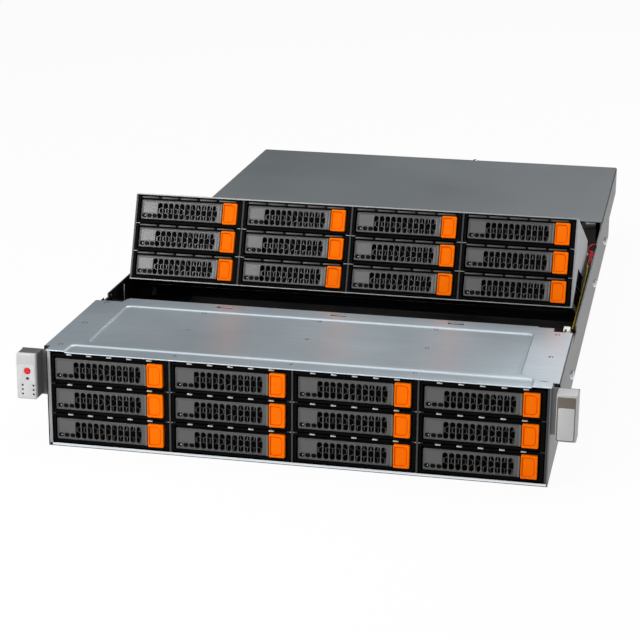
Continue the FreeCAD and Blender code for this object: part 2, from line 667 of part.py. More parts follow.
def fan_rotor(place):
    """Hub with five slanted blades, running on the motor shaft."""
    rotor = new_body(f"fan_rotor_{place + 1}")
    start = "fan_wall_y + sheet + rotor_set"
    extrude(rotor, "XZ_Plane", [ring("0", "0", "hub_radius", 2 * BLADES)], start, "rotor_len")
    bore = f"(shaft_radius + shaft_gap)/{math.cos(math.pi / SHAFT_SIDES):.6f}"
    cut(rotor, "XZ_Plane", [ring("0", "0", bore, SHAFT_SIDES)],
        f"{start} + rotor_bore_set", "rotor_len - rotor_bore_set")
    blade = [(f"{start} + {back}", str(up)) for back, up in BLADE]
    feature = extrude(rotor, "YZ_Plane", [blade], "blade_root", "blade_tip - blade_root")
    repeat_round(rotor, feature, "Y_Axis", BLADES)
    stand = half_depth_forward() * shifted(fan_centre(place), "0", "fan_low + fan_size/2")
    keep(f"fan_rotor_{place + 1}", rotor, stand)


# Electronics under the rear cover


HEAT_SINK_X = ("-145", "5")
MEMORY_X = ("-208", "-100.5", "-58", "49.5")
MODULES = 4
STANDOFF_X = ("-202", "-68", "75")
HEX = 6
# rear ports: middle, width and height
JACKS = (("-190", "15", "14"), ("-168", "16", "14"), ("-148", "16", "14"), ("-118", "31", "12"))
BOARD_TOP = "main_z + main_thick"


def mainboard():
    """Board on hexagonal standoffs with processor sockets, memory slots and rear ports."""
    board = new_body("main_circuit_board")
    extrude(board, "XY_Plane", [rect("main_left", "main_front", "main_right", "main_rear")],
            "main_z", "main_thick")
    notch = rect("main_right - main_notch_wide", "main_front", "main_right", "main_front + main_notch_len")
    cut(board, "XY_Plane", [notch], "main_z", "main_thick")
    pieces = [board]
    for x in STANDOFF_X:
        for y in ("main_front + standoff_edge", "main_rear - standoff_edge"):
            standoff = new_body("standoff")
            extrude(standoff, "XY_Plane", [ring(x, y, "standoff", HEX)], "sheet", "main_z - sheet")
            pieces.append(standoff)
    for x in HEAT_SINK_X:
        pieces.append(box("processor_socket", (f"{x} - cpu_half", "main_front + cpu_front", BOARD_TOP),
                          (f"{x} + cpu_half", "main_front + cpu_rear", f"{BOARD_TOP} + cpu_tall")))
    for first in MEMORY_X:
        last = f"{first} + {MODULES - 1}*dimm_pitch"
        pieces.append(box("memory_slots", (f"{first} - dimm_edge", "main_front + dimm_front", BOARD_TOP),
                          (f"{last} + dimm_edge", "main_front + dimm_rear", f"{BOARD_TOP} + dimm_slot_tall")))
    for x, wide, tall in JACKS:
        port = new_body("rear_port")
        left, right, high = f"{x} - {wide}/2", f"{x} + {wide}/2", f"{BOARD_TOP} + {tall}"
        shell = rect(left, BOARD_TOP, right, high)
        extrude(port, "XZ_Plane", [shell], "depth - sheet - jack_set", "jack_len")
        mouth = rect(f"{left} + jack_wall", f"{BOARD_TOP} + jack_wall",
                     f"{right} - jack_wall", f"{high} - jack_wall")
        cut(port, "XZ_Plane", [mouth], "depth - sheet - jack_deep", "jack_deep")
        pieces.append(port)
    keep("mainboard", group("mainboard", pieces))


def heat_sinks():
    """Base plates with upright fins that stand along the air flow."""
    sinks = []
    base = f"{BOARD_TOP} + cpu_tall"
    front, rear = "main_front + sink_front", "main_front + sink_rear"
    for x in HEAT_SINK_X:
        sink = new_body("heat_sink")
        left, right = f"{x} - sink_half", f"{x} + sink_half"
        extrude(sink, "XY_Plane", [rect(left, front, right, rear)], base, "sink_base")
        fin = extrude(sink, "XY_Plane", [rect(left, front, f"{left} + fin_thick", rear)],
                      f"{base} + sink_base", "fin_tall")
        repeat(sink, fin, "H_Axis", "2*sink_half - fin_thick", "fin_count")
        sinks.append(sink)
    keep("heat_sinks", group("heat_sinks", sinks))


def memory_modules():
    """Sixteen upright modules in their slots."""
    modules = []
    low = f"{BOARD_TOP} + dimm_slot_tall"
    front, rear = "main_front + dimm_front + dimm_set", "main_front + dimm_rear - dimm_set"
    for first in MEMORY_X:
        for place in range(MODULES):
            x = f"{first} + {place}*dimm_pitch"
            modules.append(box("memory_module", (f"{x} - dimm_thick/2", front, low),
                               (f"{x} + dimm_thick/2", rear, f"{low} + dimm_tall")))
    keep("memory_modules", group("memory_modules", modules))


CARD_X = ("88", "108")


def expansion_cards():
    """Low-profile cards with their brackets on the inside of the rear panel."""
    pieces = []
    front, rear = "depth - card_len", "depth - 2*sheet"
    outline = [(front, "card_low"), ("depth - key_front", "card_low"), ("depth - key_front", BOARD_TOP),
               ("depth - key_rear", BOARD_TOP), ("depth - key_rear", "card_low"), (rear, "card_low"),
               (rear, "card_high"), (front, "card_high")]
    for x in CARD_X:
        card = new_body("card_board")
        extrude(card, "YZ_Plane", [outline], f"{x} - card_thick/2", "card_thick")
        bracket = new_body("card_bracket")
        plate = rect(f"{x} - bracket_half", "bracket_low", f"{x} + bracket_half", "bracket_high")
        extrude(bracket, "XZ_Plane", [plate], rear, "sheet")
        pieces += [card, bracket]
    keep("expansion_cards", group("expansion_cards", pieces))


def rear_panel():
    """Rear wall with a port window, card slots, cooling slots and the power supply bay."""
    panel = new_body("rear_panel")
    half, start = "face_width/2 - sheet", "depth - sheet"
    extrude(panel, "XZ_Plane", [rect(neg(half), "sheet", half, "body_height - cover_sheet")], start, "sheet")
    windows = [rect("psu_left - bay_gap", "psu_low - bay_gap_tall", "psu_left + psu_wide + bay_gap",
                    "psu_low + psu_step + psu_tall + bay_gap_tall"),
               rect("jack_left", f"{BOARD_TOP} - jack_gap", "jack_right", f"{BOARD_TOP} + jack_tall")]
    windows += [rect(f"{x} - card_slot_half", "card_slot_low", f"{x} + card_slot_half", "card_slot_high")
                for x in CARD_X]
    cut(panel, "XZ_Plane", windows, start, "sheet")
    slot = rect("vent_left", "vent_low", "vent_left + vent_wide", "vent_high")
    vent = cut(panel, "XZ_Plane", [slot], start, "sheet")
    repeat(panel, vent, "H_Axis", "vent_pitch*(vent_count - 1)", "vent_count")
    keep("rear_panel", panel)


SUPPLY_FAN_SIDES = 12


def power_supply(label, level):
    """Slide-in supply: case with fan recess and inlet, a pull handle and a release latch."""
    case = new_body(label + "_case")
    low, right, face = f"psu_low + {level}*psu_step", "psu_left + psu_wide", "depth + psu_proud"
    middle = f"{low} + psu_tall/2"
    outline = rect("psu_left", low, right, f"{low} + psu_tall")
    extrude(case, "XZ_Plane", [outline], "psu_front", f"{face} - psu_front")
    fan = ring("psu_left + psu_fan_x", middle, "psu_fan", SUPPLY_FAN_SIDES)
    cut(case, "XZ_Plane", [fan], f"{face} - psu_fan_deep", "psu_fan_deep")
    inlet = rect(f"{right} - inlet_left", f"{low} + inlet_low",
                 f"{right} - inlet_right", f"{low} + inlet_high")
    cut(case, "XZ_Plane", [inlet], f"{face} - inlet_deep", "inlet_deep")
    handle = new_body(label + "_handle")
    far, near = "psu_left + handle_right", "psu_left + handle_left"
    end = "depth + psu_handle"
    loop = [(far, face), (far, end), (near, end), (near, face),
            (f"{near} + handle_bar", face), (f"{near} + handle_bar", f"{end} - handle_bar"),
            (f"{far} - handle_bar", f"{end} - handle_bar"), (f"{far} - handle_bar", face)]
    extrude(handle, "XY_Plane", [loop], f"{middle} - handle_half_tall", "2*handle_half_tall")
    latch = new_body(label + "_latch")
    lever = [(f"{right} - latch_edge", face), (f"{right} - latch_edge", "depth + latch_reach"),
             (f"{right} - latch_hook", "depth + latch_reach"),
             (f"{right} - latch_root", "depth + latch_bend"), (f"{right} - latch_root", face)]
    extrude(latch, "XY_Plane", [lever], f"{low} + latch_low", "latch_tall")
    keep(label, group(label, [case, handle, latch]))


SCREW_SIDES = 8
KNOB_SIDES = 12


def rear_cover():
    """Painted lid over the electronics, with side skirts, a front fold and a rear flange."""
    wide = "body_width/2"
    under = "body_height - cover_sheet"
    rear = "depth + lap"
    pieces = [box("cover_plate", (neg(wide), "rear_cover_front", under), (wide, rear, "body_height"))]
    inner = f"{SKIRT} - cover_sheet"
    for low, high in ((neg(SKIRT), neg(inner)), (inner, SKIRT)):
        pieces.append(box("cover_skirt", (low, "rear_cover_front", "body_height - skirt"),
                          (high, "depth", under)))
    pieces.append(box("cover_front_fold", ("-fold_half", "rear_cover_front", "body_height - fold_tall"),
                      ("fold_half", "rear_cover_front + cover_sheet", under)))
    pieces.append(box("cover_rear_flange",
                      ("screw_x - flange_half", f"{rear} - cover_sheet", "body_height - flange_tall"),
                      ("screw_x + flange_half", rear, under)))
    screw = new_body("cover_thumbscrew")
    extrude(screw, "XZ_Plane", [ring("screw_x", "screw_z", "screw_radius", SCREW_SIDES)], rear, "screw_neck")
    extrude(screw, "XZ_Plane", [ring("screw_x", "screw_z", "knob_radius", KNOB_SIDES)],
            f"{rear} + screw_neck", "knob_len")
    keep("rear_cover", group("rear_cover", pieces + [screw]))


# Rack ears


def ear_bracket(label, side):
    """Angle with the rack screw hole, fixed to the straight front part of the side wall."""
    ear = new_body(label + "_bracket")
    low = "face_width/2"
    angle = [(low, "ear_plate"), ("ear_half", "ear_plate"), ("ear_half", "ear_plate + ear_thick"),
             (low + " + sheet", "ear_plate + ear_thick"), (low + " + sheet", "shoulder"), (low, "shoulder")]
    outline = [(f"{side}({x})", y) for x, y in angle]
    extrude(ear, "XY_Plane", [outline], "ear_low", "body_height - cover_sheet - ear_low")
    hole = [(f"{side}(rack_hole_half)", "rack_hole_z", "rack_hole")]
    cut(ear, "XZ_Plane", hole, "ear_plate", "ear_thick")
    return ear


def ear_block(label, side):
    """Moulded housing in front of the ear, hollow from behind, with bevelled front edges."""
    block = new_body(label + "_block")
    back = rect(f"{side}ear_inner", "ear_low", f"{side}ear_half", "ear_high")
    extrude(block, "XZ_Plane", [back], "ear_front", "ear_plate - ear_front")
    hollow = rect(f"{side}(ear_inner + ear_wall)", "ear_low + ear_wall",
                  f"{side}(ear_half - ear_wall)", "ear_high - ear_wall")
    cut(block, "XZ_Plane", [hollow], "ear_front + ear_face", "ear_plate - ear_front - ear_face")
    return block


LIGHT_X = ("-235.9", "-226.05")
LIGHT_Z = ("58.85", "54.85", "50.85")
POWER_SIDES = 12
RESET_SIDES = 8


def left_ear():
    keep("left_ear", ear_bracket("left_ear", "-"))
    block = ear_block("control_panel", "-")
    holes = [ring("button_x", "power_z", "power_radius + button_gap", POWER_SIDES),
             ring("button_x", "reset_z", "reset_radius + button_gap", RESET_SIDES)]
    cut(block, "XZ_Plane", holes, "ear_front", "ear_face")
    switches = box("switch_board", ("-ear_half + ear_wall", "ear_front + switch_set", "ear_low + ear_wall"),
                   ("-ear_inner - ear_wall", "ear_front + switch_set + switch_thick", "ear_high - ear_wall"))
    pieces = [block, switches]
    for x in LIGHT_X:
        for z in LIGHT_Z:
            pieces.append(box("status_light",
                              (f"{x} - light_size/2", "ear_front - light_proud", f"{z} - light_size/2"),
                              (f"{x} + light_size/2", "ear_front", f"{z} + light_size/2")))
    keep("control_panel", group("control_panel", pieces))


def button(label, z, radius, proud, sides):
    """Push button with a collar behind the panel wall."""
    cap = new_body(label)
    extrude(cap, "XZ_Plane", [ring("button_x", z, radius, sides)],
            f"ear_front - {proud}", f"button_len + {proud}")
    extrude(cap, "XZ_Plane", [ring("button_x", z, f"{radius} + collar", sides)],
            "ear_front + ear_face + collar_gap", "collar_len")
    keep(label, cap)


def right_ear():
    block = ear_block("right_ear", "")
    window = rect("ear_inner + window_edge", "window_low", "ear_half - window_edge", "window_high")
    cut(block, "XZ_Plane", [window], "ear_front", "window_deep")
    keep("right_ear", group("right_ear", [ear_bracket("right_ear", ""), block]))


# Wires


def tube_path(points, bend):
    """Straight runs joined by tangent arcs of one radius."""
    spots = [FreeCAD.Vector(*point) for point in points]
    edges = []
    start = spots[0]
    for before, corner, after in zip(spots, spots[1:], spots[2:]):
        into = (before - corner).normalize()
        away = (after - corner).normalize()
        reach = bend * math.tan((into * -1).getAngle(away) / 2)
        first = corner + into * reach
        last = corner + away * reach
        inward = (into + away).normalize()
        middle = corner + inward * (math.hypot(reach, bend) - bend)
        edges.append(Part.LineSegment(start, first).toShape())
        edges.append(Part.Arc(first, middle, last).toShape())
        start = last
    edges.append(Part.LineSegment(start, spots[-1]).toShape())
    return Part.Wire(edges)


def wire_tube(label, points, bend):
    """A bundle of wires swept along its route, six-sided, with flat ends on its two plugs."""
    path = tube_path(points, bend)
    radius = value("wire/2")
    spin = FreeCAD.Rotation(FreeCAD.Vector(0, 0, 1), FreeCAD.Vector(*points[1]) - FreeCAD.Vector(*points[0]))
    turns = [2 * math.pi * (corner + 0.5) / BUNDLE_SIDES for corner in range(BUNDLE_SIDES)]
    rim = [spin * FreeCAD.Vector(radius * math.cos(turn), radius * math.sin(turn), 0) for turn in turns]
    section = Part.makePolygon([FreeCAD.Vector(*points[0]) + spot for spot in rim + rim[:1]])
    tube = doc.addObject("Part::Feature", label)
    tube.Shape = path.makePipeShell([section], True, False)
    expected = path.Length * Part.Face(section).Area
    if abs(tube.Shape.Volume - expected) > SWEEP_ERROR * expected:
        raise RuntimeError(f"{label}: volume {tube.Shape.Volume:.0f}, expected {expected:.0f}")
    return tube


BUNDLE_SIDES = 6
SWEEP_ERROR = 0.02
# corners of each wire bundle's route, and the blocks of its plugs, as (x, y, z)
YELLOW_ROUTE = [(212.75, 184, 79), (212.75, 196, 79), (219.4, 228, 75), (219.4, 470, 73), (209, 540, 46),
                (209, 560, 46)]
YELLOW_BEND = 20
RED_ROUTE = [(206.5, 560, 41), (206.5, 540, 41), (218, 515, 68), (214, 490, 40), (213, 490, 14)]
RED_BEND = 12
PLUGS = {"front_port": ((209.5, "board_front + board", 74.5), (215, 174, 83)),
         "front_plug": ((208.5, 174, 73.5), (216.5, 184, 84)),
         "rear_plug": ((202, 560, 36), (216, "fan_wall_y", 51)),
         "floor_plug": ((209, 484, "sheet"), (217, 496, 14))}


def wire_harness():
    """Power wires from the front backplane, along the right wall, to a plug on the fan partition."""
    pieces = [box(label, low, high) for label, (low, high) in PLUGS.items()]
    pieces.append(wire_tube("yellow_wires", YELLOW_ROUTE, YELLOW_BEND))
    pieces.append(wire_tube("red_wires", RED_ROUTE, RED_BEND))
    keep("wire_harness", group("wire_harness", pieces))


chassis_tub()
front_cage()
front_cover()
keep("front_backplane", backplane("front_backplane", "board_front"))
keep("mid_backplane", backplane("mid_backplane", "mid_face + board_front"), raised())
pivot_pins()
rail_studs()
carriers()
mid_cage()
mid_tray()
mid_lid()
fan_wall()
for fan in range(FANS):
    fan_rotor(fan)
mainboard()
heat_sinks()
memory_modules()
expansion_cards()
rear_panel()
power_supply("psu_lower", 0)
power_supply("psu_upper", 1)
rear_cover()
left_ear()
button("power_button", "power_z", "power_radius", "power_proud", POWER_SIDES)
button("reset_button", "reset_z", "reset_radius", "reset_proud", RESET_SIDES)
right_ear()
wire_harness()
doc.recompute()

for item in doc.Objects:
    if {"Invalid", "Error"} & set(item.State):
        raise RuntimeError(f"{item.Label}: {item.State}")
for label, piece in nodes.items():
    if piece.Shape.isNull() or not piece.Shape.isValid():
        raise RuntimeError(f"{label} has no valid shape")

os.makedirs("parts", exist_ok=True)
for label, piece in nodes.items():
    piece.Shape.exportStep(f"parts/{label}.step")
print(len(nodes), "nodes written")
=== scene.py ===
import math

import bmesh
import bpy
from mathutils import Matrix, Vector


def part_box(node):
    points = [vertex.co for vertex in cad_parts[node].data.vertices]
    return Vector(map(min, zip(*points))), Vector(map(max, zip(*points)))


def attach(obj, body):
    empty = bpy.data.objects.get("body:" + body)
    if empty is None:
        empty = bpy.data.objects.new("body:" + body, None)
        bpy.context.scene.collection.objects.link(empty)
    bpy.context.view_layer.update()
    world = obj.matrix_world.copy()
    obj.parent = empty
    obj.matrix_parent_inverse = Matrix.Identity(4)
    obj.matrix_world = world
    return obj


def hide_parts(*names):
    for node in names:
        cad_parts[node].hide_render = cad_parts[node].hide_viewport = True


# A two-unit storage server with its middle drive bank tilted up. Lengths are in millimetres:
# X to the right, Y to the rear from the face of the front carriers, Z up from the floor.

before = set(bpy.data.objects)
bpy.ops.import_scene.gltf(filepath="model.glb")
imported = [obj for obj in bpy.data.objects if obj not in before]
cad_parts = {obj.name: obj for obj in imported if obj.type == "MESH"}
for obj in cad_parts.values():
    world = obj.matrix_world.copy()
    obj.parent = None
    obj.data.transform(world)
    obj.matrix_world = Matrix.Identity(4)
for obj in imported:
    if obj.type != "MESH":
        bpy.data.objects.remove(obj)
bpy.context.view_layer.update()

MM = 0.001
HALF_DEPTH = 423.0
ORIGIN = Matrix.Translation((0, -HALF_DEPTH * MM, 0))


def span(node):
    """Low and high corners of a frame node's box."""
    front = Vector((0, HALF_DEPTH, 0))
    return [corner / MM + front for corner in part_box(node)]


# body and covers, with the sizes that the frame's boxes give
SIDE, DEPTH, WALL_TOP = span("chassis_tub")[1]
BODY_TOP = span("front_cover")[1].z
LOW_SIDE = 218.5
SHEET = 1.2
SHOULDER = 12.0
JOGGLE_LOW, JOGGLE_HIGH, JOGGLE_ROUND = 46.0, 56.0, 2.0
LIP_HIGH, LIP_THICK = 2.7, 0.5
FLANGE_INNER = -214.9
NOTCH_FRONT, NOTCH_REAR, NOTCH_TOP = 153.0, 190.0, 77.0
MID_WALL_TOP, MID_WALL_REAR = 83.7, 470.0

# drive bays and the middle bank, which is drawn lowered
COLUMNS, ROWS = 4, 3
COLUMN_PITCH, ROW_PITCH, ROW_MID = 107.86, 27.49, 43.85
MID_FACE = 226.7
MID_HALF = 216.5
MID_FLOOR, MID_TOP = 1.6, 87.0
PIVOT_Y, PIVOT_Z = 456.6, 20.0
TILT = math.radians(21.2)


# Places and outlines. An outline is a list of points that runs anticlockwise

ARC_STEPS = 6


def spaced(count, pitch, middle=0.0):
    """Places at an even pitch about a middle."""
    return [middle + pitch * (k - (count - 1) / 2) for k in range(count)]


def on_side(side, inner, outer):
    """Left and right ends of a stretch at one side of the middle plane, -1 or 1."""
    return sorted((side * inner, side * outer))


def rect(left, low, right, high):
    return [(left, low), (right, low), (right, high), (left, high)]


def around(x, z, half, tall):
    """A rectangle about its middle."""
    return rect(x - half, z - tall, x + half, z + tall)


def disc(across, up, radius, sides=20):
    turns = [2 * math.pi * k / sides for k in range(sides)]
    return [(across + radius * math.cos(t), up + radius * math.sin(t)) for t in turns]


def rounded(points, radius, steps=4):
    """The outline with arcs at its corners: one radius for all of them, or one for each."""
    radii = radius if isinstance(radius, (list, tuple)) else [radius] * len(points)
    result = []
    for k, size in enumerate(radii):
        corner = Vector(points[k])
        into = (Vector(points[k - 1]) - corner).normalized()
        away = (Vector(points[(k + 1) % len(points)]) - corner).normalized()
        if size <= 0:
            result.append(tuple(corner))
            continue
        half = into.angle(away) / 2
        first = corner + into * (size / math.tan(half))
        last = corner + away * (size / math.tan(half))
        centre = corner + (into + away).normalized() * (size / math.sin(half))
        start, end = first - centre, last - centre
        swing = start.angle_signed(end)
        for step in range(steps + 1):
            turn = Matrix.Rotation(-swing * step / steps, 2)
            result.append(tuple(centre + turn @ start))
    return result


def grown(points, amount):
    """The outline moved outwards, with sharp corners kept sharp."""
    result = []
    for k, point in enumerate(points):
        here = Vector(point)
        before = (here - Vector(points[k - 1])).normalized()
        after = (Vector(points[(k + 1) % len(points)]) - here).normalized()
        one, two = Vector((before.y, -before.x)), Vector((after.y, -after.x))
        result.append(tuple(here + (one + two) * (amount / (1 + one.dot(two)))))
    return result


# Solids, each a mesh of its own until it is joined to others


def lifted(axis, a, b, depth):
    """A point at a depth along an axis, from its two other coordinates."""
    if axis == "x":
        return depth, a, b
    if axis == "y":
        return a, depth, b
    return a, b, depth


def bridge(bm, first, second, closed=True):
    """Four-sided faces between two rows of points."""
    count = len(first) if closed else len(first) - 1
    for k in range(count):
        after = (k + 1) % len(first)
        bm.faces.new((first[k], first[after], second[after], second[k]))


def fill(bm, loops):
    """A flat face in one loop, or between an outer loop and the holes in it."""
    if len(loops) == 1:
        bm.faces.new(loops[0])
        return
    edges = [bm.edges.get((a, b)) for loop in loops for a, b in zip(loop, loop[1:] + loop[:1])]
    bmesh.ops.triangle_fill(bm, use_beauty=True, edges=edges)


def prism(outer, holes, start, end, edge=0.0, axis="y", steps=2):
    """A plate with holes, from start to end along an axis, its edges at the start rounded."""
    bm = bmesh.new()
    fronts, backs = [], []
    inward = 1 if end > start else -1
    for points, sign in [(outer, -1)] + [(hole, 1) for hole in holes]:
        rings = []
        for k in range(steps + 1 if edge else 0):
            turn = math.pi / 2 * k / steps
            outline = grown(points, sign * edge * (1 - math.sin(turn)))
            depth = start + inward * edge * (1 - math.cos(turn))
            rings.append([bm.verts.new(lifted(axis, a, b, depth)) for a, b in outline])
        for depth in ((end,) if edge else (start, end)):
            rings.append([bm.verts.new(lifted(axis, a, b, depth)) for a, b in points])
        for first, second in zip(rings, rings[1:]):
            bridge(bm, first, second)
        fronts.append(rings[0])
        backs.append(rings[-1])
    fill(bm, fronts)
    fill(bm, backs)
    bmesh.ops.recalc_face_normals(bm, faces=bm.faces)
    return bm


def block(low, high, edge=0.3):
    """A box with all its edges rounded, or sharp where the edge is 0."""
    bm = bmesh.new()
    bmesh.ops.create_cube(bm, size=1)
    for vert in bm.verts:
        vert.co = [l if c < 0 else h for c, l, h in zip(vert.co, low, high)]
    if edge:
        bmesh.ops.bevel(bm, geom=list(bm.edges), offset=edge, segments=2, profile=0.5, affect="EDGES")
    return bm


def turned(profile, at, axis, sides=24, scale=1.0):
    """A turned piece: (radius, height) steps about an axis through a point, the radii to a scale."""
    bm = bmesh.new()
    rings = []
    for radius, height in profile:
        spots = disc(0, 0, radius * scale, sides)
        rings.append([bm.verts.new(Vector(at) + Vector(lifted(axis, a, b, height))) for a, b in spots])
    for first, second in zip(rings, rings[1:]):
        bridge(bm, first, second)
    fill(bm, rings[:1])
    fill(bm, rings[-1:])
    bmesh.ops.recalc_face_normals(bm, faces=bm.faces)
    return bm


def strand(points, radius):
    """A round wire along a smooth line through the points."""
    curve = bpy.data.curves.new("strand", "CURVE")
    curve.dimensions = "3D"
    curve.bevel_depth = radius
    curve.bevel_resolution = 2
    curve.resolution_u = 10
    curve.use_fill_caps = True
    line = curve.splines.new("BEZIER")
    line.bezier_points.add(len(points) - 1)
    for knot, spot in zip(line.bezier_points, points):
        knot.co = spot
        knot.handle_left_type = knot.handle_right_type = "AUTO"
    wire = bpy.data.objects.new("strand", curve)
    bpy.context.scene.collection.objects.link(wire)
    shown = wire.evaluated_get(bpy.context.evaluated_depsgraph_get())
    mesh = bpy.data.meshes.new_from_object(shown)
    bm = bmesh.new()
    bm.from_mesh(mesh)
    bpy.data.objects.remove(wire)
    bpy.data.curves.remove(curve)
    bpy.data.meshes.remove(mesh)
    return bm


def joined(name, solids, sharp=35):
    """One mesh in metres from (solid, material) pairs.

    Four-sided faces are smooth, filled ends stay flat.
    """
    mesh = bpy.data.meshes.new(name)
    whole = bmesh.new()
    for bm, material in solids:
        if material.name not in mesh.materials:
            mesh.materials.append(material)
        for face in bm.faces:
            face.material_index = mesh.materials.find(material.name)
            face.smooth = len(face.verts) == 4
        part = bpy.data.meshes.new("part")
        bm.to_mesh(part)
        whole.from_mesh(part)
        bpy.data.meshes.remove(part)
        bm.free()
    bmesh.ops.scale(whole, vec=(MM, MM, MM), verts=whole.verts)
    whole.to_mesh(mesh)
    whole.free()
    mesh.set_sharp_from_angle(angle=math.radians(sharp))
    return mesh


def place(name, mesh, body, nodes=(), stand=None):
    """Show a mesh, riding on a body and standing for the nodes."""
    thing = bpy.data.objects.new(name, mesh)
    bpy.context.scene.collection.objects.link(thing)
    thing.matrix_world = ORIGIN if stand is None else stand
    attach(thing, body)
    if nodes:
        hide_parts(*nodes)


def raised():
    """Where the middle bank stands, tilted up about its pivot pins."""
    pivot = Vector((0, PIVOT_Y, PIVOT_Z)) * MM
    turn = Matrix.Rotation(-TILT, 4, "X")
    return ORIGIN @ Matrix.Translation(pivot) @ turn @ Matrix.Translation(-pivot)


# Materials

# height of the fine relief in metres, and the range that most of a noise keeps to
RELIEF = 0.0002
NOISE_LOW, NOISE_HIGH = 0.3, 0.7


def surface(name, colour, metallic=0.0, rough=0.5, grain=900.0, stretch=(1, 1, 1), vary=0.12,
            rough_vary=0.1, bump=0.15, blotch=18.0, blotch_vary=0.12, coat=0.0, spec=0.5):
    """A base colour broken by fine grain, broad blotches and a fine relief."""
    mat = bpy.data.materials.new(name)
    mat.use_nodes = True
    tree = mat.node_tree
    shader = tree.nodes["Principled BSDF"]
    shader.inputs["Metallic"].default_value = metallic
    shader.inputs["Specular IOR Level"].default_value = spec
    shader.inputs["Coat Weight"].default_value = coat
    shader.inputs["Coat Roughness"].default_value = 0.25
    spots = tree.nodes.new("ShaderNodeTexCoord")
    scale = tree.nodes.new("ShaderNodeMapping")
    scale.inputs["Scale"].default_value = stretch
    tree.links.new(spots.outputs["Object"], scale.inputs["Vector"])
    fine = tree.nodes.new("ShaderNodeTexNoise")
    fine.inputs["Scale"].default_value = grain
    fine.inputs["Detail"].default_value = 3.0
    tree.links.new(scale.outputs["Vector"], fine.inputs["Vector"])
    broad = tree.nodes.new("ShaderNodeTexNoise")
    broad.inputs["Scale"].default_value = blotch
    broad.inputs["Detail"].default_value = 4.0
    tree.links.new(spots.outputs["Object"], broad.inputs["Vector"])
    light = spread(tree, fine.outputs["Fac"], 1 - vary, 1 + vary)
    shade = spread(tree, broad.outputs["Fac"], 1 - blotch_vary, 1 + blotch_vary)
    both = tree.nodes.new("ShaderNodeMath")
    both.operation = "MULTIPLY"
    tree.links.new(light, both.inputs[0])
    tree.links.new(shade, both.inputs[1])
    tint = tree.nodes.new("ShaderNodeVectorMath")
    tint.operation = "SCALE"
    tint.inputs[0].default_value = colour
    tree.links.new(both.outputs["Value"], tint.inputs["Scale"])
    tree.links.new(tint.outputs["Vector"], shader.inputs["Base Color"])
    tree.links.new(spread(tree, broad.outputs["Fac"], rough - rough_vary, rough + rough_vary),
                   shader.inputs["Roughness"])
    relief = tree.nodes.new("ShaderNodeBump")
    relief.inputs["Strength"].default_value = bump
    relief.inputs["Distance"].default_value = RELIEF
    tree.links.new(fine.outputs["Fac"], relief.inputs["Height"])
    tree.links.new(relief.outputs["Normal"], shader.inputs["Normal"])
    return mat


def spread(tree, source, low, high):
    """Noise, which keeps to its middle, spread over a range."""
    wider = tree.nodes.new("ShaderNodeMapRange")
    wider.inputs["From Min"].default_value = NOISE_LOW
    wider.inputs["From Max"].default_value = NOISE_HIGH
    wider.inputs["To Min"].default_value = low
    wider.inputs["To Max"].default_value = high
    tree.links.new(source, wider.inputs["Value"])
    return wider.outputs["Result"]


# streaks drawn out along X or along Y
ACROSS, ALONG = (0.04, 1, 1), (1, 0.04, 1)


def rolled(name, colour, metallic, rough, way):
    """Sheet metal with the streaks of its rolling."""
    return surface(name, colour, metallic, rough, grain=700, stretch=way, vary=0.05, rough_vary=0.02,
                   bump=0.05, blotch=9, blotch_vary=0.05)


def moulded(name, colour, rough, vary=0.08, spec=0.5, coat=0.0):
    """Plastic with a fine spark-eroded grain."""
    return surface(name, colour, 0.0, rough, grain=1800, vary=vary, rough_vary=0.06, bump=0.08, blotch=40,
                   blotch_vary=vary, coat=coat, spec=spec)


ZINC_SHEET = rolled("zinc_sheet", (0.80, 0.84, 0.88), 1.0, 0.36, ACROSS)
COVER_ZINC = rolled("cover_zinc", (0.55, 0.625, 0.675), 0.85, 0.42, ACROSS)
WALL_ZINC = rolled("wall_zinc", (0.15, 0.153, 0.156), 0.6, 0.45, ALONG)
LIP_ZINC = rolled("lip_zinc", (0.31, 0.325, 0.325), 0.3, 0.45, ACROSS)
# zinc darkened nearly to black: painted shade, on the front cage, the walls' shoulder webs and the middle
# bank's tray and left front edge
SHADED_ZINC = rolled("shaded_zinc", (0.034, 0.035, 0.037), 0.3, 0.45, ALONG)
BANK_ZINC = rolled("bank_zinc", (0.28, 0.29, 0.30), 0.4, 0.42, ALONG)
SPRING_STEEL = rolled("spring_steel", (0.55, 0.53, 0.50), 0.9, 0.34, ACROSS)
CUT_EDGE = surface("cut_edge", (0.055, 0.055, 0.053), 0.0, 0.5, bump=0.05, spec=0.08)
SEAL_STRIP = rolled("seal_strip", (0.055, 0.052, 0.048), 0.2, 0.45, ACROSS)
# dark steel whose colour swings from black to bright in small blotches: painted glints on the honeycomb's
# webs
SCREEN_PAINTED_GLINTS = surface("screen_painted_glints", (0.053, 0.053, 0.051), 0.6, 0.34, grain=260, vary=1.0, bump=0.6,
                       blotch=110, blotch_vary=1.0)
PIN_STEEL = surface("pin_steel", (0.82, 0.83, 0.85), 1.0, 0.28, vary=0.06, bump=0.04, blotch=60)
DARK_PAINT = surface("dark_paint", (0.142, 0.157, 0.165), 0.0, 0.46, grain=1500, vary=0.10,
                     rough_vary=0.06, bump=0.10, blotch=6, blotch_vary=0.06)
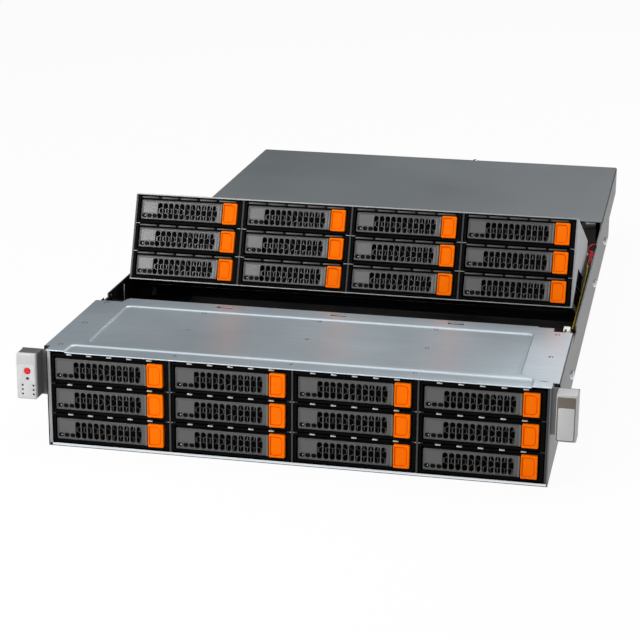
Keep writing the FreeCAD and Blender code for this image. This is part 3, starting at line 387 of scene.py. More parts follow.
# near-black with long streaks, for the inside of the body, the bank's underside, the cover's catches and
# the front backplane: its darkness is partly painted shade where these lie in shadow, and its streaks are
# painted reflections
DARK_SHEET_AND_SHADE = surface("dark_sheet_and_shade", (0.010, 0.010, 0.011), 0.0, 0.40, grain=60, stretch=ACROSS, vary=0.6,
                      bump=0.10, blotch=14, blotch_vary=0.5, spec=0.04)
FRAME_BLACK = moulded("frame_black", (0.003, 0.003, 0.0034), 0.55, vary=0.25, spec=0.03)
LEVER_GRAY = moulded("lever_gray", (0.072, 0.072, 0.071), 0.38, spec=0.5)
LEVER_SMOOTH = moulded("lever_smooth", (0.080, 0.080, 0.079), 0.32, vary=0.04, spec=0.55)
# a lighter copy of the lever's plastic: painted highlight along the ridge at each lever's right end
LEVER_PAINTED_HIGHLIGHT = moulded("lever_painted_highlight", (0.11, 0.11, 0.11), 0.34, vary=0.04, spec=0.6)
TAB_ORANGE = moulded("tab_orange", (0.94, 0.165, 0.002), 0.45, vary=0.05, spec=0.01)
# darker copy of the tab's orange: painted shade in the groove round the recess
TAB_GROOVE_SHADE = moulded("tab_groove_shade", (0.70, 0.070, 0.002), 0.5, vary=0.05, spec=0.01)
DARK_LENS = moulded("dark_lens", (0.003, 0.003, 0.003), 0.5, spec=0.06)
WHITE_MARK = moulded("white_mark", (0.9, 0.9, 0.9), 0.2, coat=0.6)
CAST_DISK = surface("cast_disk", (0.48, 0.49, 0.50), 0.8, 0.45, grain=1200, bump=0.15, blotch=25)
SHELL_GRAY = moulded("shell_gray", (0.45, 0.45, 0.45), 0.40, vary=0.05)
SHELL_DARK = moulded("shell_dark", (0.09, 0.09, 0.095), 0.38, vary=0.1)
LABEL_WHITE = moulded("label_white", (0.50, 0.50, 0.50), 0.45, vary=0.03)
# gray of the disks' stickers, also used for the painted glint on the first light window
LABEL_AND_GLINT_GRAY = moulded("label_and_glint_gray", (0.40, 0.40, 0.41), 0.45, vary=0.04)
WINDOW_BROWN = moulded("window_brown", (0.14, 0.122, 0.10), 0.35, spec=0.3)
BUTTON_RED = moulded("button_red", (0.60, 0.013, 0.016), 0.36, vary=0.05, spec=0.3)
PLAIN_BLACK = moulded("plain_black", (0.02, 0.02, 0.02), 0.35, vary=0.1)
SOLDER_MASK = surface("solder_mask", (0.02, 0.12, 0.052), 0.0, 0.35, grain=500, vary=0.25, bump=0.10,
                      blotch=60, blotch_vary=0.25, coat=0.3)
SOCKET_BLACK = moulded("socket_black", (0.03, 0.03, 0.032), 0.45, vary=0.15)
FAN_BLACK = moulded("fan_black", (0.028, 0.028, 0.03), 0.48, vary=0.15)
FIN_ALUMINIUM = rolled("fin_aluminium", (0.72, 0.73, 0.75), 1.0, 0.32, ALONG)
SUPPLY_CASE = rolled("supply_case", (0.68, 0.69, 0.70), 0.9, 0.40, ALONG)
PLUG_WHITE = moulded("plug_white", (0.76, 0.74, 0.68), 0.42, vary=0.04)
WIRE_YELLOW = moulded("wire_yellow", (0.57, 0.375, 0.017), 0.40, spec=0.3)
WIRE_RED = moulded("wire_red", (0.60, 0.025, 0.02), 0.40)
WIRE_BLACK = moulded("wire_black", (0.02, 0.02, 0.021), 0.42, vary=0.15)


# Drive carrier, drawn about the middle of its face

FRAME_WIDE, FRAME_TALL, FRAME_FRONT, FRAME_ROUND, FRAME_EDGE = 52.7, 13.2, 1.5, 0.8, 0.5
BEZEL_REAR, TRAY_LEN, RAIL_TOP = 14.0, 165.0, 7.0
WELL = rect(-50.3, -10.9, 49.1, 10.9)
WELL_REAR, WELL_ROUND = 10.0, 1.0
GRILLE = rect(-31.5, -8.0, 29.5, 8.0)
STEM = rect(39.27, -3.0, 43.27, 3.0)
STEM_REAR, STEM_GAP = 12.5, 0.2

# pieces in a row along the top of the bezel
FINGERS, FINGER_PITCH, FINGER_MID, FINGER_HALF, FINGER_EDGE = 5, 18.0, -0.4, 2.4, 0.4
FINGER_FRONT, FINGER_REAR, FINGER_SUNK, FINGER_PROUD = 1.0, 9.0, 0.9, 0.5
STRIPS, STRIP_PITCH, STRIP_MID, STRIP_HALF, STRIP_EDGE = 5, 19.5, -1.5, 8.4, 0.2
STRIP_FRONT, STRIP_REAR, STRIP_FOOT, STRIP_SUNK = 1.0, 2.0, 1.8, 0.2

DISK_HALF, DISK_TALL, DISK_FRONT, DISK_REAR, DISK_ROUND = 50.8, 13.05, 16.0, 163.0, 1.2
STICKER_HALF, STICKER_FRONT, STICKER_REAR, STICKER_SUNK, STICKER_PROUD = 42.0, 20.0, 110.0, 0.03, 0.05

LEVER_LEFT, LEVER_RIGHT, LEVER_LOW, LEVER_HIGH = -48.6, 33.0, -9.5, 9.4
LEVER_HALF_TALL, LEVER_ROUND, RIM_EDGE, FACE_EDGE = 10.625, 0.9, 0.35, 0.2
FACE, PLATE_REAR, SCREEN_FRONT, SCREEN_REAR, LEVER_BACK, LEVER_REAR = 0.4, 1.4, 2.0, 2.3, 7.0, 8.0
FIELD = rect(-47.9, -8.9, 31.8, 8.7)
FIELD_ROUND, FIELD_LAP = 0.6, 0.5
BADGE = rect(-46.6, -3.0, -32.6, 7.4)
BADGE_ROUND, BADGE_LAP, BADGE_FRONT = 0.5, 0.1, 0.55
# the lever's right end is a strip in the lighter plastic: painted highlight
BRIGHT_LEFT, BRIGHT_FRONT, BRIGHT_EDGE = 31.4, -0.1, 0.1
SLOT_FIRST, SLOT_PITCH, SLOTS = -29.85, 5.554, 11
SLOT_HALF, SLOT_ROUND, SLOT_LOW, SLOT_HIGH = 2.3, 2.15, -8.3, 6.9
LIGHT_X, LIGHT_Z = (-45.3, -40.1, -34.8), -6.0
LIGHT_HALF, LIGHT_TALL, LIGHT_ROUND, LIGHT_FRONT = 2.25, 1.95, 1.7, 1.2
# a small pale disc on the first light window: painted glint
PAINTED_GLINT_X, PAINTED_GLINT_RADIUS, PAINTED_GLINT_FRONT = -44.6, 0.6, 1.0

HEX_PITCH, HEX_RADIUS, HEX_ROWS, HEX_COLUMNS = 6.0, 3.2, 3, 10
SCREEN_MID_X, SCREEN_MID_Z = -2.2, -0.7
SCREEN_EDGE = rect(-36.0, -9.5, 31.5, 8.2)

TAB_LEFT, TAB_RIGHT, TAB_HALF_TALL, TAB_ROUND = 33.79, 47.7, 10.4, 1.0
TAB_FRONT, TAB_REAR, TAB_EDGE = -0.5, 7.0, 0.35
RECESS = rect(34.89, -8.6, 45.59, 8.6)
RECESS_CORNERS, RECESS_FLOOR = (0.8, 3.6, 3.6, 0.8), 0.2
GROOVE_WIDE, GROOVE_FRONT, GROOVE_REAR = 0.8, 0.18, 0.3


def carrier_frame():
    """Black bezel with an open well and a rear plate, and a rail along each side of the disk."""
    outline = rounded(around(0, 0, FRAME_WIDE, FRAME_TALL), FRAME_ROUND)
    well = rounded(WELL, WELL_ROUND)
    openings = [GRILLE, grown(STEM, STEM_GAP)]
    solids = [(prism(outline, [well], FRAME_FRONT, WELL_REAR, FRAME_EDGE), FRAME_BLACK),
              (prism(outline, openings, WELL_REAR, BEZEL_REAR), FRAME_BLACK)]
    for side in (-1, 1):
        left, right = on_side(side, DISK_HALF, FRAME_WIDE)
        solids.append((block((left, BEZEL_REAR, -FRAME_TALL), (right, TRAY_LEN, RAIL_TOP)), FRAME_BLACK))
    return solids


def spring_fingers():
    """Contact springs that arch over the top of a front carrier's bezel."""
    fingers = []
    for x in spaced(FINGERS, FINGER_PITCH, FINGER_MID):
        low = (x - FINGER_HALF, FINGER_FRONT, FRAME_TALL - FINGER_SUNK)
        high = (x + FINGER_HALF, FINGER_REAR, FRAME_TALL + FINGER_PROUD)
        fingers.append((block(low, high, FINGER_EDGE), SPRING_STEEL))
    return fingers


def seal_strips():
    """Strips along the top of a middle carrier's bezel."""
    strips = []
    for x in spaced(STRIPS, STRIP_PITCH, STRIP_MID):
        low = (x - STRIP_HALF, STRIP_FRONT, FRAME_TALL - STRIP_FOOT)
        high = (x + STRIP_HALF, STRIP_REAR, FRAME_TALL - STRIP_SUNK)
        strips.append((block(low, high, STRIP_EDGE), SEAL_STRIP))
    return strips


def disk():
    case = block((-DISK_HALF, DISK_FRONT, -DISK_TALL), (DISK_HALF, DISK_REAR, DISK_TALL), DISK_ROUND)
    sticker = block((-STICKER_HALF, STICKER_FRONT, DISK_TALL - STICKER_SUNK),
                    (STICKER_HALF, STICKER_REAR, DISK_TALL + STICKER_PROUD), 0)
    return [(case, CAST_DISK), (sticker, LABEL_AND_GLINT_GRAY)]


def slot_outline(number):
    x = SLOT_FIRST + number * SLOT_PITCH
    return rounded(rect(x - SLOT_HALF, SLOT_LOW, x + SLOT_HALF, SLOT_HIGH), SLOT_ROUND)


def carrier_lever():
    """Rimmed gray lever: light windows and a blank field at the left, then a grille of slots."""
    outline = rounded(rect(LEVER_LEFT, LEVER_LOW, LEVER_RIGHT, LEVER_HIGH), LEVER_ROUND)
    shell = rounded(rect(LEVER_LEFT, -LEVER_HALF_TALL, LEVER_RIGHT, LEVER_HALF_TALL), LEVER_ROUND)
    field = rounded(FIELD, FIELD_ROUND)
    badge = rounded(BADGE, BADGE_ROUND)
    slots = [slot_outline(number) for number in range(SLOTS)]
    lights = [rounded(around(x, LIGHT_Z, LIGHT_HALF, LIGHT_TALL), LIGHT_ROUND) for x in LIGHT_X]
    # strip at the right end in the lighter plastic: painted highlight where the ridge catches light
    bright = block((BRIGHT_LEFT, BRIGHT_FRONT, LEVER_LOW), (LEVER_RIGHT, FACE, LEVER_HIGH), BRIGHT_EDGE)
    solids = [(prism(outline, [field], 0, PLATE_REAR, RIM_EDGE), LEVER_GRAY),
              (prism(outline, slots + lights + [badge], FACE, PLATE_REAR, FACE_EDGE), LEVER_GRAY),
              (prism(grown(badge, BADGE_LAP), [], BADGE_FRONT, PLATE_REAR), LEVER_SMOOTH),
              (bright, LEVER_PAINTED_HIGHLIGHT),
              (prism(shell, [grown(field, -FIELD_LAP)], PLATE_REAR, LEVER_BACK), FRAME_BLACK),
              (prism(shell, [], LEVER_BACK, LEVER_REAR), FRAME_BLACK),
              (screen(), SCREEN_PAINTED_GLINTS)]
    for light in lights:
        solids.append((prism(light, [], LIGHT_FRONT, PLATE_REAR), DARK_LENS))
    # a pale dot on the first light window: painted glint
    dot = disc(PAINTED_GLINT_X, LIGHT_Z, PAINTED_GLINT_RADIUS, sides=10)
    solids.append((prism(dot, [], PAINTED_GLINT_FRONT, PLATE_REAR), LABEL_AND_GLINT_GRAY))
    return solids


def screen():
    """Thin steel sheet with hexagonal holes in staggered rows."""
    holes = []
    turns = [math.pi / 3 * k for k in range(6)]
    for row, z in enumerate(spaced(HEX_ROWS, HEX_PITCH * math.sin(math.pi / 3), SCREEN_MID_Z)):
        stagger = HEX_PITCH / 4 * (1 if row % 2 else -1)
        for x in spaced(HEX_COLUMNS, HEX_PITCH, SCREEN_MID_X + stagger):
            holes.append([(x + HEX_RADIUS * math.sin(t), z - HEX_RADIUS * math.cos(t)) for t in turns])
    # the sheet's colour is dark with bright blotches: painted glints
    return prism(SCREEN_EDGE, holes, SCREEN_FRONT, SCREEN_REAR)


def carrier_tab():
    """Orange tab with a finger recess that is round at its right side, with a groove round it in darker
    orange: painted shade at the recess's edge.
    """
    outline = rounded(rect(TAB_LEFT, -TAB_HALF_TALL, TAB_RIGHT, TAB_HALF_TALL), TAB_ROUND)
    recess = rounded(RECESS, RECESS_CORNERS, ARC_STEPS)
    return [(prism(outline, [recess], TAB_FRONT, RECESS_FLOOR, TAB_EDGE), TAB_ORANGE),
            (prism(outline, [], RECESS_FLOOR, TAB_REAR), TAB_ORANGE),
            (prism(recess, [grown(recess, -GROOVE_WIDE)], GROOVE_FRONT, GROOVE_REAR), TAB_GROOVE_SHADE)]


def tab_stem():
    return [(prism(STEM, [], TAB_REAR, STEM_REAR), TAB_ORANGE)]


def latch():
    return carrier_lever() + carrier_tab()


def carriers():
    """Twelve carriers in each bank.

    In the top front row the lever and the tab ride on bodies of their own.
    """
    whole = {"mid": joined("carrier", carrier_frame() + disk() + seal_strips() + latch()),
             "front": joined("carrier_sprung", carrier_frame() + spring_fingers() + disk() + latch())}
    tray = joined("carrier_tray", carrier_frame() + spring_fingers() + disk())
    moving = {"lever": joined("lever", carrier_lever()),
              "tab": joined("tab", carrier_tab() + tab_stem())}
    for bank, stand, face in (("front", ORIGIN, 0.0), ("mid", raised(), MID_FACE)):
        for row, z in enumerate(spaced(ROWS, -ROW_PITCH, ROW_MID)):
            for column, x in enumerate(spaced(COLUMNS, COLUMN_PITCH)):
                spot = f"r{row + 1}c{column + 1}"
                name = f"{bank}_carrier_{spot}"
                there = stand @ Matrix.Translation(Vector((x, face, z)) * MM)
                working = bank == "front" and row == 0
                place(f"{name}_look", tray if working else whole[bank], name, [name], there)
                if working:
                    for part, mesh in moving.items():
                        node = f"front_{part}_{spot}"
                        place(f"{node}_look", mesh, node, [node], there)


# Covers

COVER_THICK = 0.3
FRONT_BEND, BEND_STEPS = 0.5, 8
BAND_HALF, BAND_REAR, BAND_ROUND, BAND_DEEP = 202.5, 21.5, 6.5, 1.1
PANEL_HALF, PANEL_FRONT, PANEL_REAR, PANEL_ROUND, PANEL_DEEP = 190.5, 26.5, 144.7, 6.5, 1.2
PRESS_RUN, PRESS_SIDE, PRESS_STEPS = 4.4, 0.3, 8
BELOW_EDGES = BODY_TOP - BAND_DEEP - FRONT_BEND - 0.1
COVER_SIDE = SIDE - 1.0
COVER_REAR, TONGUE_LEFT, TONGUE_RIGHT, TONGUE_DRAFT = 153.0, -197.5, 206.5, 2.0
TONGUE_REAR = span("front_cover")[1].y
LAP_RIGHT, LAP_REAR, LAP_DROP, LAP_THICK, LAP_UNDER = 191.5, 170.0, 1.4, 0.6, 1.0
CATCH_X, CATCH_HALF, CATCH_FRONT, CATCH_REAR = (-99.2, 8.6, 117.6), 7.5, 154.5, 161.5
CATCH_LOW, CATCH_HIGH = BODY_TOP - 3.0, BODY_TOP - 2.4
SKIRT_OUTER, SKIRT_LOW, SKIRT_THICK = 223.0, 79.0, 1.0
# black strips on the walls' tops under the covers' edges: painted shade
SHADE_LINE_OUTER, SHADE_LINE_HIGH = SIDE - 0.1, WALL_TOP + 0.2


def sheet_strip(bm, loops):
    """Faces between rows of points in space."""
    rows = [[bm.verts.new(p) for p in loop] for loop in loops]
    for first, second in zip(rows, rows[1:]):
        bridge(bm, first, second, closed=False)


def turn_down(bm, above, thick):
    """Give a sheet's open edges above a level the sheet's thickness."""
    rim = [e for e in bm.edges if e.is_boundary and min(v.co.z for v in e.verts) > above]
    lower = bmesh.ops.extrude_edge_only(bm, edges=rim)["geom"]
    verts = [v for v in lower if isinstance(v, bmesh.types.BMVert)]
    bmesh.ops.translate(bm, vec=(0, 0, -thick), verts=verts)


def pressed(part, deep):
    """Level of a pressing's slope, rounded at its top and its foot."""
    return BODY_TOP - deep * (1 - math.cos(math.pi * part)) / 2


def sink(bm, points, first, deep, closed):
    """Press an outline below the sheet: a panel with slopes all round, or a band open in front.

    The slopes at the two ends are steeper than the others.
    """
    before = first
    for step in range(1, PRESS_STEPS + 1):
        part = step / PRESS_STEPS
        moved = grown(points, PRESS_RUN * part * (-1 if closed else 1))
        inner = [(a + (x - a) * PRESS_SIDE, y) for (a, _), (x, y) in zip(points, moved)]
        if not closed:
            inner[0] = (inner[0][0], FRONT_BEND)
            inner[-1] = (inner[-1][0], FRONT_BEND)
        ring = [bm.verts.new((x, y, pressed(part, deep))) for x, y in inner]
        bridge(bm, before, ring, closed)
        before = ring
    bm.faces.new(before)


def front_edge(bm):
    """The cover's front edge, bent down along the band's section."""
    line = [(LOW_SIDE, BODY_TOP), (BAND_HALF, BODY_TOP)]
    for step in range(1, PRESS_STEPS + 1):
        part = step / PRESS_STEPS
        line.append((BAND_HALF - PRESS_RUN * PRESS_SIDE * part, pressed(part, BAND_DEEP)))
    line += [(-x, z) for x, z in reversed(line)]
    rows = []
    for step in range(BEND_STEPS + 1):
        turn = math.pi / 2 * step / BEND_STEPS
        back, drop = FRONT_BEND * (1 - math.sin(turn)), FRONT_BEND * (1 - math.cos(turn))
        rows.append([(x, back, z - drop) for x, z in line])
    sheet_strip(bm, rows)


def cover_outline():
    """The front cover's edge from its right front corner round to the left one, with the rear tongue."""
    right = [(LOW_SIDE, FRONT_BEND), (LOW_SIDE, SHOULDER),
             (COVER_SIDE, SHOULDER), (COVER_SIDE, COVER_REAR)]
    tongue = [(TONGUE_RIGHT, COVER_REAR), (TONGUE_RIGHT, TONGUE_REAR),
              (TONGUE_LEFT + TONGUE_DRAFT, TONGUE_REAR), (TONGUE_LEFT, COVER_REAR)]
    return right + tongue + [(-x, y) for x, y in reversed(right)]


def pressed_sheet():
    """The front cover's sheet, whose front band and wide panel lie below the sheet round them."""
    bm = bmesh.new()
    outside = cover_outline()
    arcs = rounded(around(0, 0, BAND_HALF, BAND_REAR), (0, 0, BAND_ROUND, BAND_ROUND), ARC_STEPS)[2:]
    band = [(-BAND_HALF, FRONT_BEND)] + list(reversed(arcs)) + [(BAND_HALF, FRONT_BEND)]
    panel = rounded(rect(-PANEL_HALF, PANEL_FRONT, PANEL_HALF, PANEL_REAR), PANEL_ROUND, ARC_STEPS)
    catches = [rect(x - CATCH_HALF, CATCH_FRONT, x + CATCH_HALF, CATCH_REAR) for x in CATCH_X]
    outlines = [outside + band, panel] + catches
    loops = [[bm.verts.new((x, y, BODY_TOP)) for x, y in points] for points in outlines]
    for loop in loops:
        for a, b in zip(loop, loop[1:] + loop[:1]):
            bm.edges.new((a, b))
    fill(bm, loops)
    sink(bm, panel, loops[1], PANEL_DEEP, closed=True)
    sink(bm, band, loops[0][len(outside):], BAND_DEEP, closed=False)
    front_edge(bm)
    bmesh.ops.remove_doubles(bm, verts=bm.verts, dist=0.001)
    bmesh.ops.recalc_face_normals(bm, faces=bm.faces)
    if max(bm.faces, key=lambda f: f.calc_area()).normal.z < 0:
        bmesh.ops.reverse_faces(bm, faces=bm.faces)
    turn_down(bm, BELOW_EDGES, COVER_THICK)
    return bm


def skirts(front, shade_line_front, rear, top, coat):
    """A cover's side skirts, inside the walls, and black strips on the walls' tops: painted shade under
    the cover's edges.
    """
    solids = []
    for side in (-1, 1):
        near, far = on_side(side, SKIRT_OUTER - SKIRT_THICK, SKIRT_OUTER)
        solids.append((block((near, front, SKIRT_LOW), (far, rear, top), 0), coat))
        # black strip along the wall's top: painted shade under the cover's edge
        near, far = on_side(side, SKIRT_OUTER, SHADE_LINE_OUTER)
        solids.append((block((near, shade_line_front, WALL_TOP), (far, rear, SHADE_LINE_HIGH), 0), PLAIN_BLACK))
    return solids


def front_cover():
    """Pressed lid with catches along its tongue, a lap below the tongue's edge, skirts and rivets."""
    solids = [(pressed_sheet(), COVER_ZINC)]
    # the catches are in the near-black sheet: partly painted shade under the tongue
    for x in CATCH_X:
        low, high = (x - CATCH_HALF, CATCH_FRONT, CATCH_LOW), (x + CATCH_HALF, CATCH_REAR, CATCH_HIGH)
        solids.append((block(low, high, 0), DARK_SHEET_AND_SHADE))
    lap = BODY_TOP - LAP_DROP
    low = (TONGUE_LEFT + TONGUE_DRAFT, TONGUE_REAR - LAP_UNDER, lap - LAP_THICK)
    solids.append((block(low, (LAP_RIGHT, LAP_REAR, lap), edge=0.2), COVER_ZINC))
    solids += skirts(SHOULDER + 2 * SHEET, SHOULDER, COVER_REAR, WALL_TOP, COVER_ZINC)
    place("front_cover_look", joined("front_cover_sheet", solids, sharp=12), "chassis", ["front_cover"])
    place("front_cover_rivets", joined("rivets", cover_marks()), "chassis")


# rivets on the cover's margins, and small stamped marks on its panel and band, as (x, y)
RIVETS = ((-211.2, 147), (-210.8, 82.6), (-211.2, 17.6), (210.8, 144.5), (210.5, 80))
MARKS = ((-114.6, 86), (-114.2, 138), (-5.2, 84), (-5.0, 138), (102.4, 83.2), (102.2, 138))
BAND_MARKS = ((-106, 12), (-4, 13), (102.4, 14))
RIVET_RADIUS, MARK_RADIUS, BAND_MARK_RADIUS = 2.4, 2.2, 1.8
RIVET_RING = ((1.0, -0.1), (1.0, 0.04))
RIVET_EYE = ((0.55, 0.0), (0.5, 0.12), (0.3, 0.2))
SLIT = ((207.0, 13.9, BODY_TOP - 0.4), (213.5, 15.3, BODY_TOP + 0.02))


def cover_marks():
    """A dark ring with a bright eye for each rivet and mark, and a slit at the right front corner."""
    marks = []
    for spots, level, radius in ((RIVETS, BODY_TOP, RIVET_RADIUS),
                                 (MARKS, BODY_TOP - PANEL_DEEP, MARK_RADIUS),
                                 (BAND_MARKS, BODY_TOP - BAND_DEEP, BAND_MARK_RADIUS)):
        for x, y in spots:
            marks.append((turned(RIVET_RING, (x, y, level), "z", sides=16, scale=radius), SHELL_DARK))
            marks.append((turned(RIVET_EYE, (x, y, level), "z", sides=12, scale=radius), PIN_STEEL))
    return marks + [(block(*SLIT, 0), SHELL_DARK)]


REAR_FRONT = span("rear_cover")[0].y
REAR_END = DEPTH + SHEET
FOLD_HALF, FOLD_LOW, FOLD_THICK = 200.0, 83.0, 1.0
FLANGE_LEFT, FLANGE_RIGHT, FLANGE_LOW = 20.0, 74.0, 76.0
SCREW_X, SCREW_Z = 47.0, 82.6
SCREW_PROFILE = ((2.4, 0), (2.4, 2), (4.9, 2), (5.2, 2.5), (5.2, 7.5), (4.8, 8), (1.6, 8), (1.4, 7))


def rear_cover():
    """Plain painted lid with side skirts inside the walls, a fold in front and a captive thumbscrew."""
    under = BODY_TOP - COVER_THICK
    lid = block((-COVER_SIDE, REAR_FRONT, under), (COVER_SIDE, REAR_END, BODY_TOP), edge=0.25)
    fold = block((-FOLD_HALF, REAR_FRONT, FOLD_LOW), (FOLD_HALF, REAR_FRONT + FOLD_THICK, under), 0)
    flange = block((FLANGE_LEFT, REAR_END - FOLD_THICK, FLANGE_LOW), (FLANGE_RIGHT, REAR_END, under), 0)
    solids = [(lid, DARK_PAINT), (fold, DARK_PAINT), (flange, DARK_PAINT)]
    solids += skirts(REAR_FRONT, REAR_FRONT, DEPTH, under, DARK_PAINT)
    place("rear_cover_look", joined("rear_cover_sheet", solids, sharp=20), "rear_cover", ["rear_cover"])
    screw = turned(SCREW_PROFILE, (SCREW_X, REAR_END, SCREW_Z), "y", sides=28)
    knob = joined("thumbscrew", [(screw, PIN_STEEL)])
    place("cover_thumbscrew_look", knob, "rear_cover", ["rear_cover"])


# Chassis


def lined(bm, outside, inner_material):
    """A wall's faces in two lots: those that look towards the middle plane get the inner material."""
    inner = bm.copy()
    for mesh, inwards in ((bm, False), (inner, True)):
        mesh.normal_update()
        other = [f for f in mesh.faces if (f.normal.x * f.calc_center_median().x < -1) != inwards]
        bmesh.ops.delete(mesh, geom=other, context="FACES")
    return [(bm, outside), (inner, inner_material)]


def tub():
    """Folded pan: zinc outside, near-black inside that is partly painted shade, its walls cut down
    between the covers.
    """
    inside, shoulder_rear = LOW_SIDE - SHEET, SHOULDER + SHEET
    solids = [(block((-LOW_SIDE, 0, 0), (LOW_SIDE, DEPTH, SHEET / 2), 0), WALL_ZINC),
              (block((-inside, SHEET, SHEET / 2), (inside, DEPTH, SHEET), 0), DARK_SHEET_AND_SHADE),
              (block((-inside, 0, 0), (inside, LIP_THICK, LIP_HIGH), edge=0.15), ZINC_SHEET),
              (block((-LOW_SIDE, 0, 0), (FLANGE_INNER, SHEET, WALL_TOP), edge=0.2), LIP_ZINC)]
    step = [(LOW_SIDE, SHEET / 2), (LOW_SIDE, JOGGLE_LOW), (SIDE, JOGGLE_HIGH),
            (SIDE - SHEET, JOGGLE_HIGH), (inside, JOGGLE_LOW), (inside, SHEET / 2)]
    bends = (0, JOGGLE_ROUND, 0, 0, JOGGLE_ROUND, 0)
    upper = [(SHOULDER, JOGGLE_HIGH), (DEPTH, JOGGLE_HIGH), (DEPTH, WALL_TOP), (MID_WALL_REAR, WALL_TOP),
             (MID_WALL_REAR, MID_WALL_TOP), (NOTCH_REAR, MID_WALL_TOP), (NOTCH_REAR, NOTCH_TOP),
             (NOTCH_FRONT, NOTCH_TOP), (NOTCH_FRONT, WALL_TOP), (SHOULDER, WALL_TOP)]
    for side in (-1, 1):
        fold = prism([(side * x, z) for x, z in rounded(step, bends, steps=3)], [], SHOULDER, DEPTH)
        wall = prism(upper, [], side * SIDE, side * (SIDE - SHEET), axis="x")
        solids += lined(fold, WALL_ZINC, DARK_SHEET_AND_SHADE) + lined(wall, WALL_ZINC, DARK_SHEET_AND_SHADE)
        near, far = on_side(side, inside, LOW_SIDE)
        solids.append((block((near, 0, 0), (far, shoulder_rear, WALL_TOP), edge=0.2), WALL_ZINC))
        # the shoulder web behind each ear in the darkened zinc: painted shade in the notch
        near, far = on_side(side, inside, SIDE)
        solids.append((block((near, SHOULDER, JOGGLE_LOW), (far, shoulder_rear, WALL_TOP), 0), SHADED_ZINC))
    place("chassis_tub_look", joined("tub", solids, sharp=40), "chassis", ["chassis_tub"])


# small pieces beside the middle bank: a guide tab, a screw, a glossy white diamond mark and a bare edge
# on the left wall, and the bright rest for the rear cover's right front corner
GUIDE_TAB = ((-224.3, 168.0, 76.5), (-223.4, 177.0, 83.2))
WALL_SCREW = (-223.2, 197.0, 79.6)
WALL_SCREW_PROFILE = ((1.8, 0), (1.8, 0.5), (1.2, 0.8))
WALL_MARK = [(314.5, 47.4), (325.5, 43.2), (331.0, 48.6), (320.0, 53.0)]
WALL_MARK_THICK = 0.2
BARE_EDGE = ((-218.2, 222.0, 58.0), (-217.4, 222.6, 84.0))
COVER_REST = ((206.5, 561.0, 84.6), (217.0, 561.5, 87.6))


def wall_fittings():
    screw = turned(WALL_SCREW_PROFILE, WALL_SCREW, "x", sides=12)
    wall = SHEET - LOW_SIDE
    mark = prism(WALL_MARK, [], wall + WALL_MARK_THICK, wall, axis="x")
    solids = [(block(*GUIDE_TAB), PLAIN_BLACK), (screw, SPRING_STEEL), (mark, WHITE_MARK),
              (block(*BARE_EDGE, 0), LIP_ZINC), (block(*COVER_REST, edge=0.2), SPRING_STEEL)]
    place("wall_fittings", joined("fittings", solids), "chassis")


# Rack ears

EAR_FRONT = span("right_ear")[0].y
EAR_LOW = span("right_ear")[0].z
EAR_OUTER, _, EAR_HIGH = span("right_ear")[1]
EAR_INNER, EAR_WALL, EAR_CAP, EAR_BACK, EAR_PLATE = 223.6, 1.3, 3.5, 3.0, 2.0
EAR_ROUND, EAR_EDGE = 1.4, 1.1
EAR_HOLE_X, EAR_HOLE_Z, EAR_HOLE = 232.55, 66.7, 3.4
BUTTON_X, POWER_Z, RESET_Z = -231.3, 71.75, 64.95
POWER_HOLE, RESET_HOLE = 3.1, 1.4
POWER_CAP = ((0.2, -0.55), (1.6, -0.6), (2.5, -0.4), (2.9, 0.1), (2.9, 5.0), (3.8, 5.0), (3.8, 5.2))
RESET_CAP = ((0.2, -0.2), (0.9, -0.15), (1.2, 0.2), (1.2, 5.0), (2.1, 5.0), (2.1, 5.2))
BUTTONS = (("power_button", POWER_CAP, POWER_Z, BUTTON_RED),
           ("reset_button", RESET_CAP, RESET_Z, PLAIN_BLACK))
STATUS_X, STATUS_Z, STATUS_HALF, STATUS_ROUND = (-235.9, -226.05), (58.85, 54.85, 50.85), 0.8, 0.3
STATUS_FRONT, STATUS_REAR = EAR_FRONT - 0.15, EAR_FRONT + 0.3

# thin layers on the ears' faces
LAYER_REAR = EAR_FRONT + 0.4
LEFT_LABEL = rect(1.4 - EAR_OUTER, EAR_LOW + 1.0, -EAR_INNER - 1.2, 77.2)
LEFT_LABEL_ROUND, LEFT_LABEL_FRONT, LEFT_LABEL_EDGE = 1.6, EAR_FRONT - 0.12, 0.06
RIGHT_LABEL = rect(EAR_INNER + 1.8, EAR_LOW + 1.6, EAR_OUTER - 2.6, 75.6)
RIGHT_LABEL_ROUND, RIGHT_LABEL_FRONT, RIGHT_LABEL_EDGE = 1.2, EAR_FRONT - 0.15, 0.05
PANE = rect(EAR_INNER + 0.6, EAR_LOW + 0.7, EAR_OUTER - 1.7, 84.9)
PANE_ROUND, PANE_FRONT, PANE_EDGE = 1.2, EAR_FRONT - 0.1, 0.08


def ear_shell(left, right, holes, rear_coat):
    """A moulded block with a rounded face and a hollow back."""
    outline = rounded(rect(left, EAR_LOW, right, EAR_HIGH), EAR_ROUND)
    cap = EAR_FRONT + EAR_CAP
    return [(prism(outline, holes, EAR_FRONT, cap, EAR_EDGE, steps=4), SHELL_GRAY),
            (prism(outline, [grown(outline, -EAR_WALL)], cap, EAR_BACK), rear_coat)]


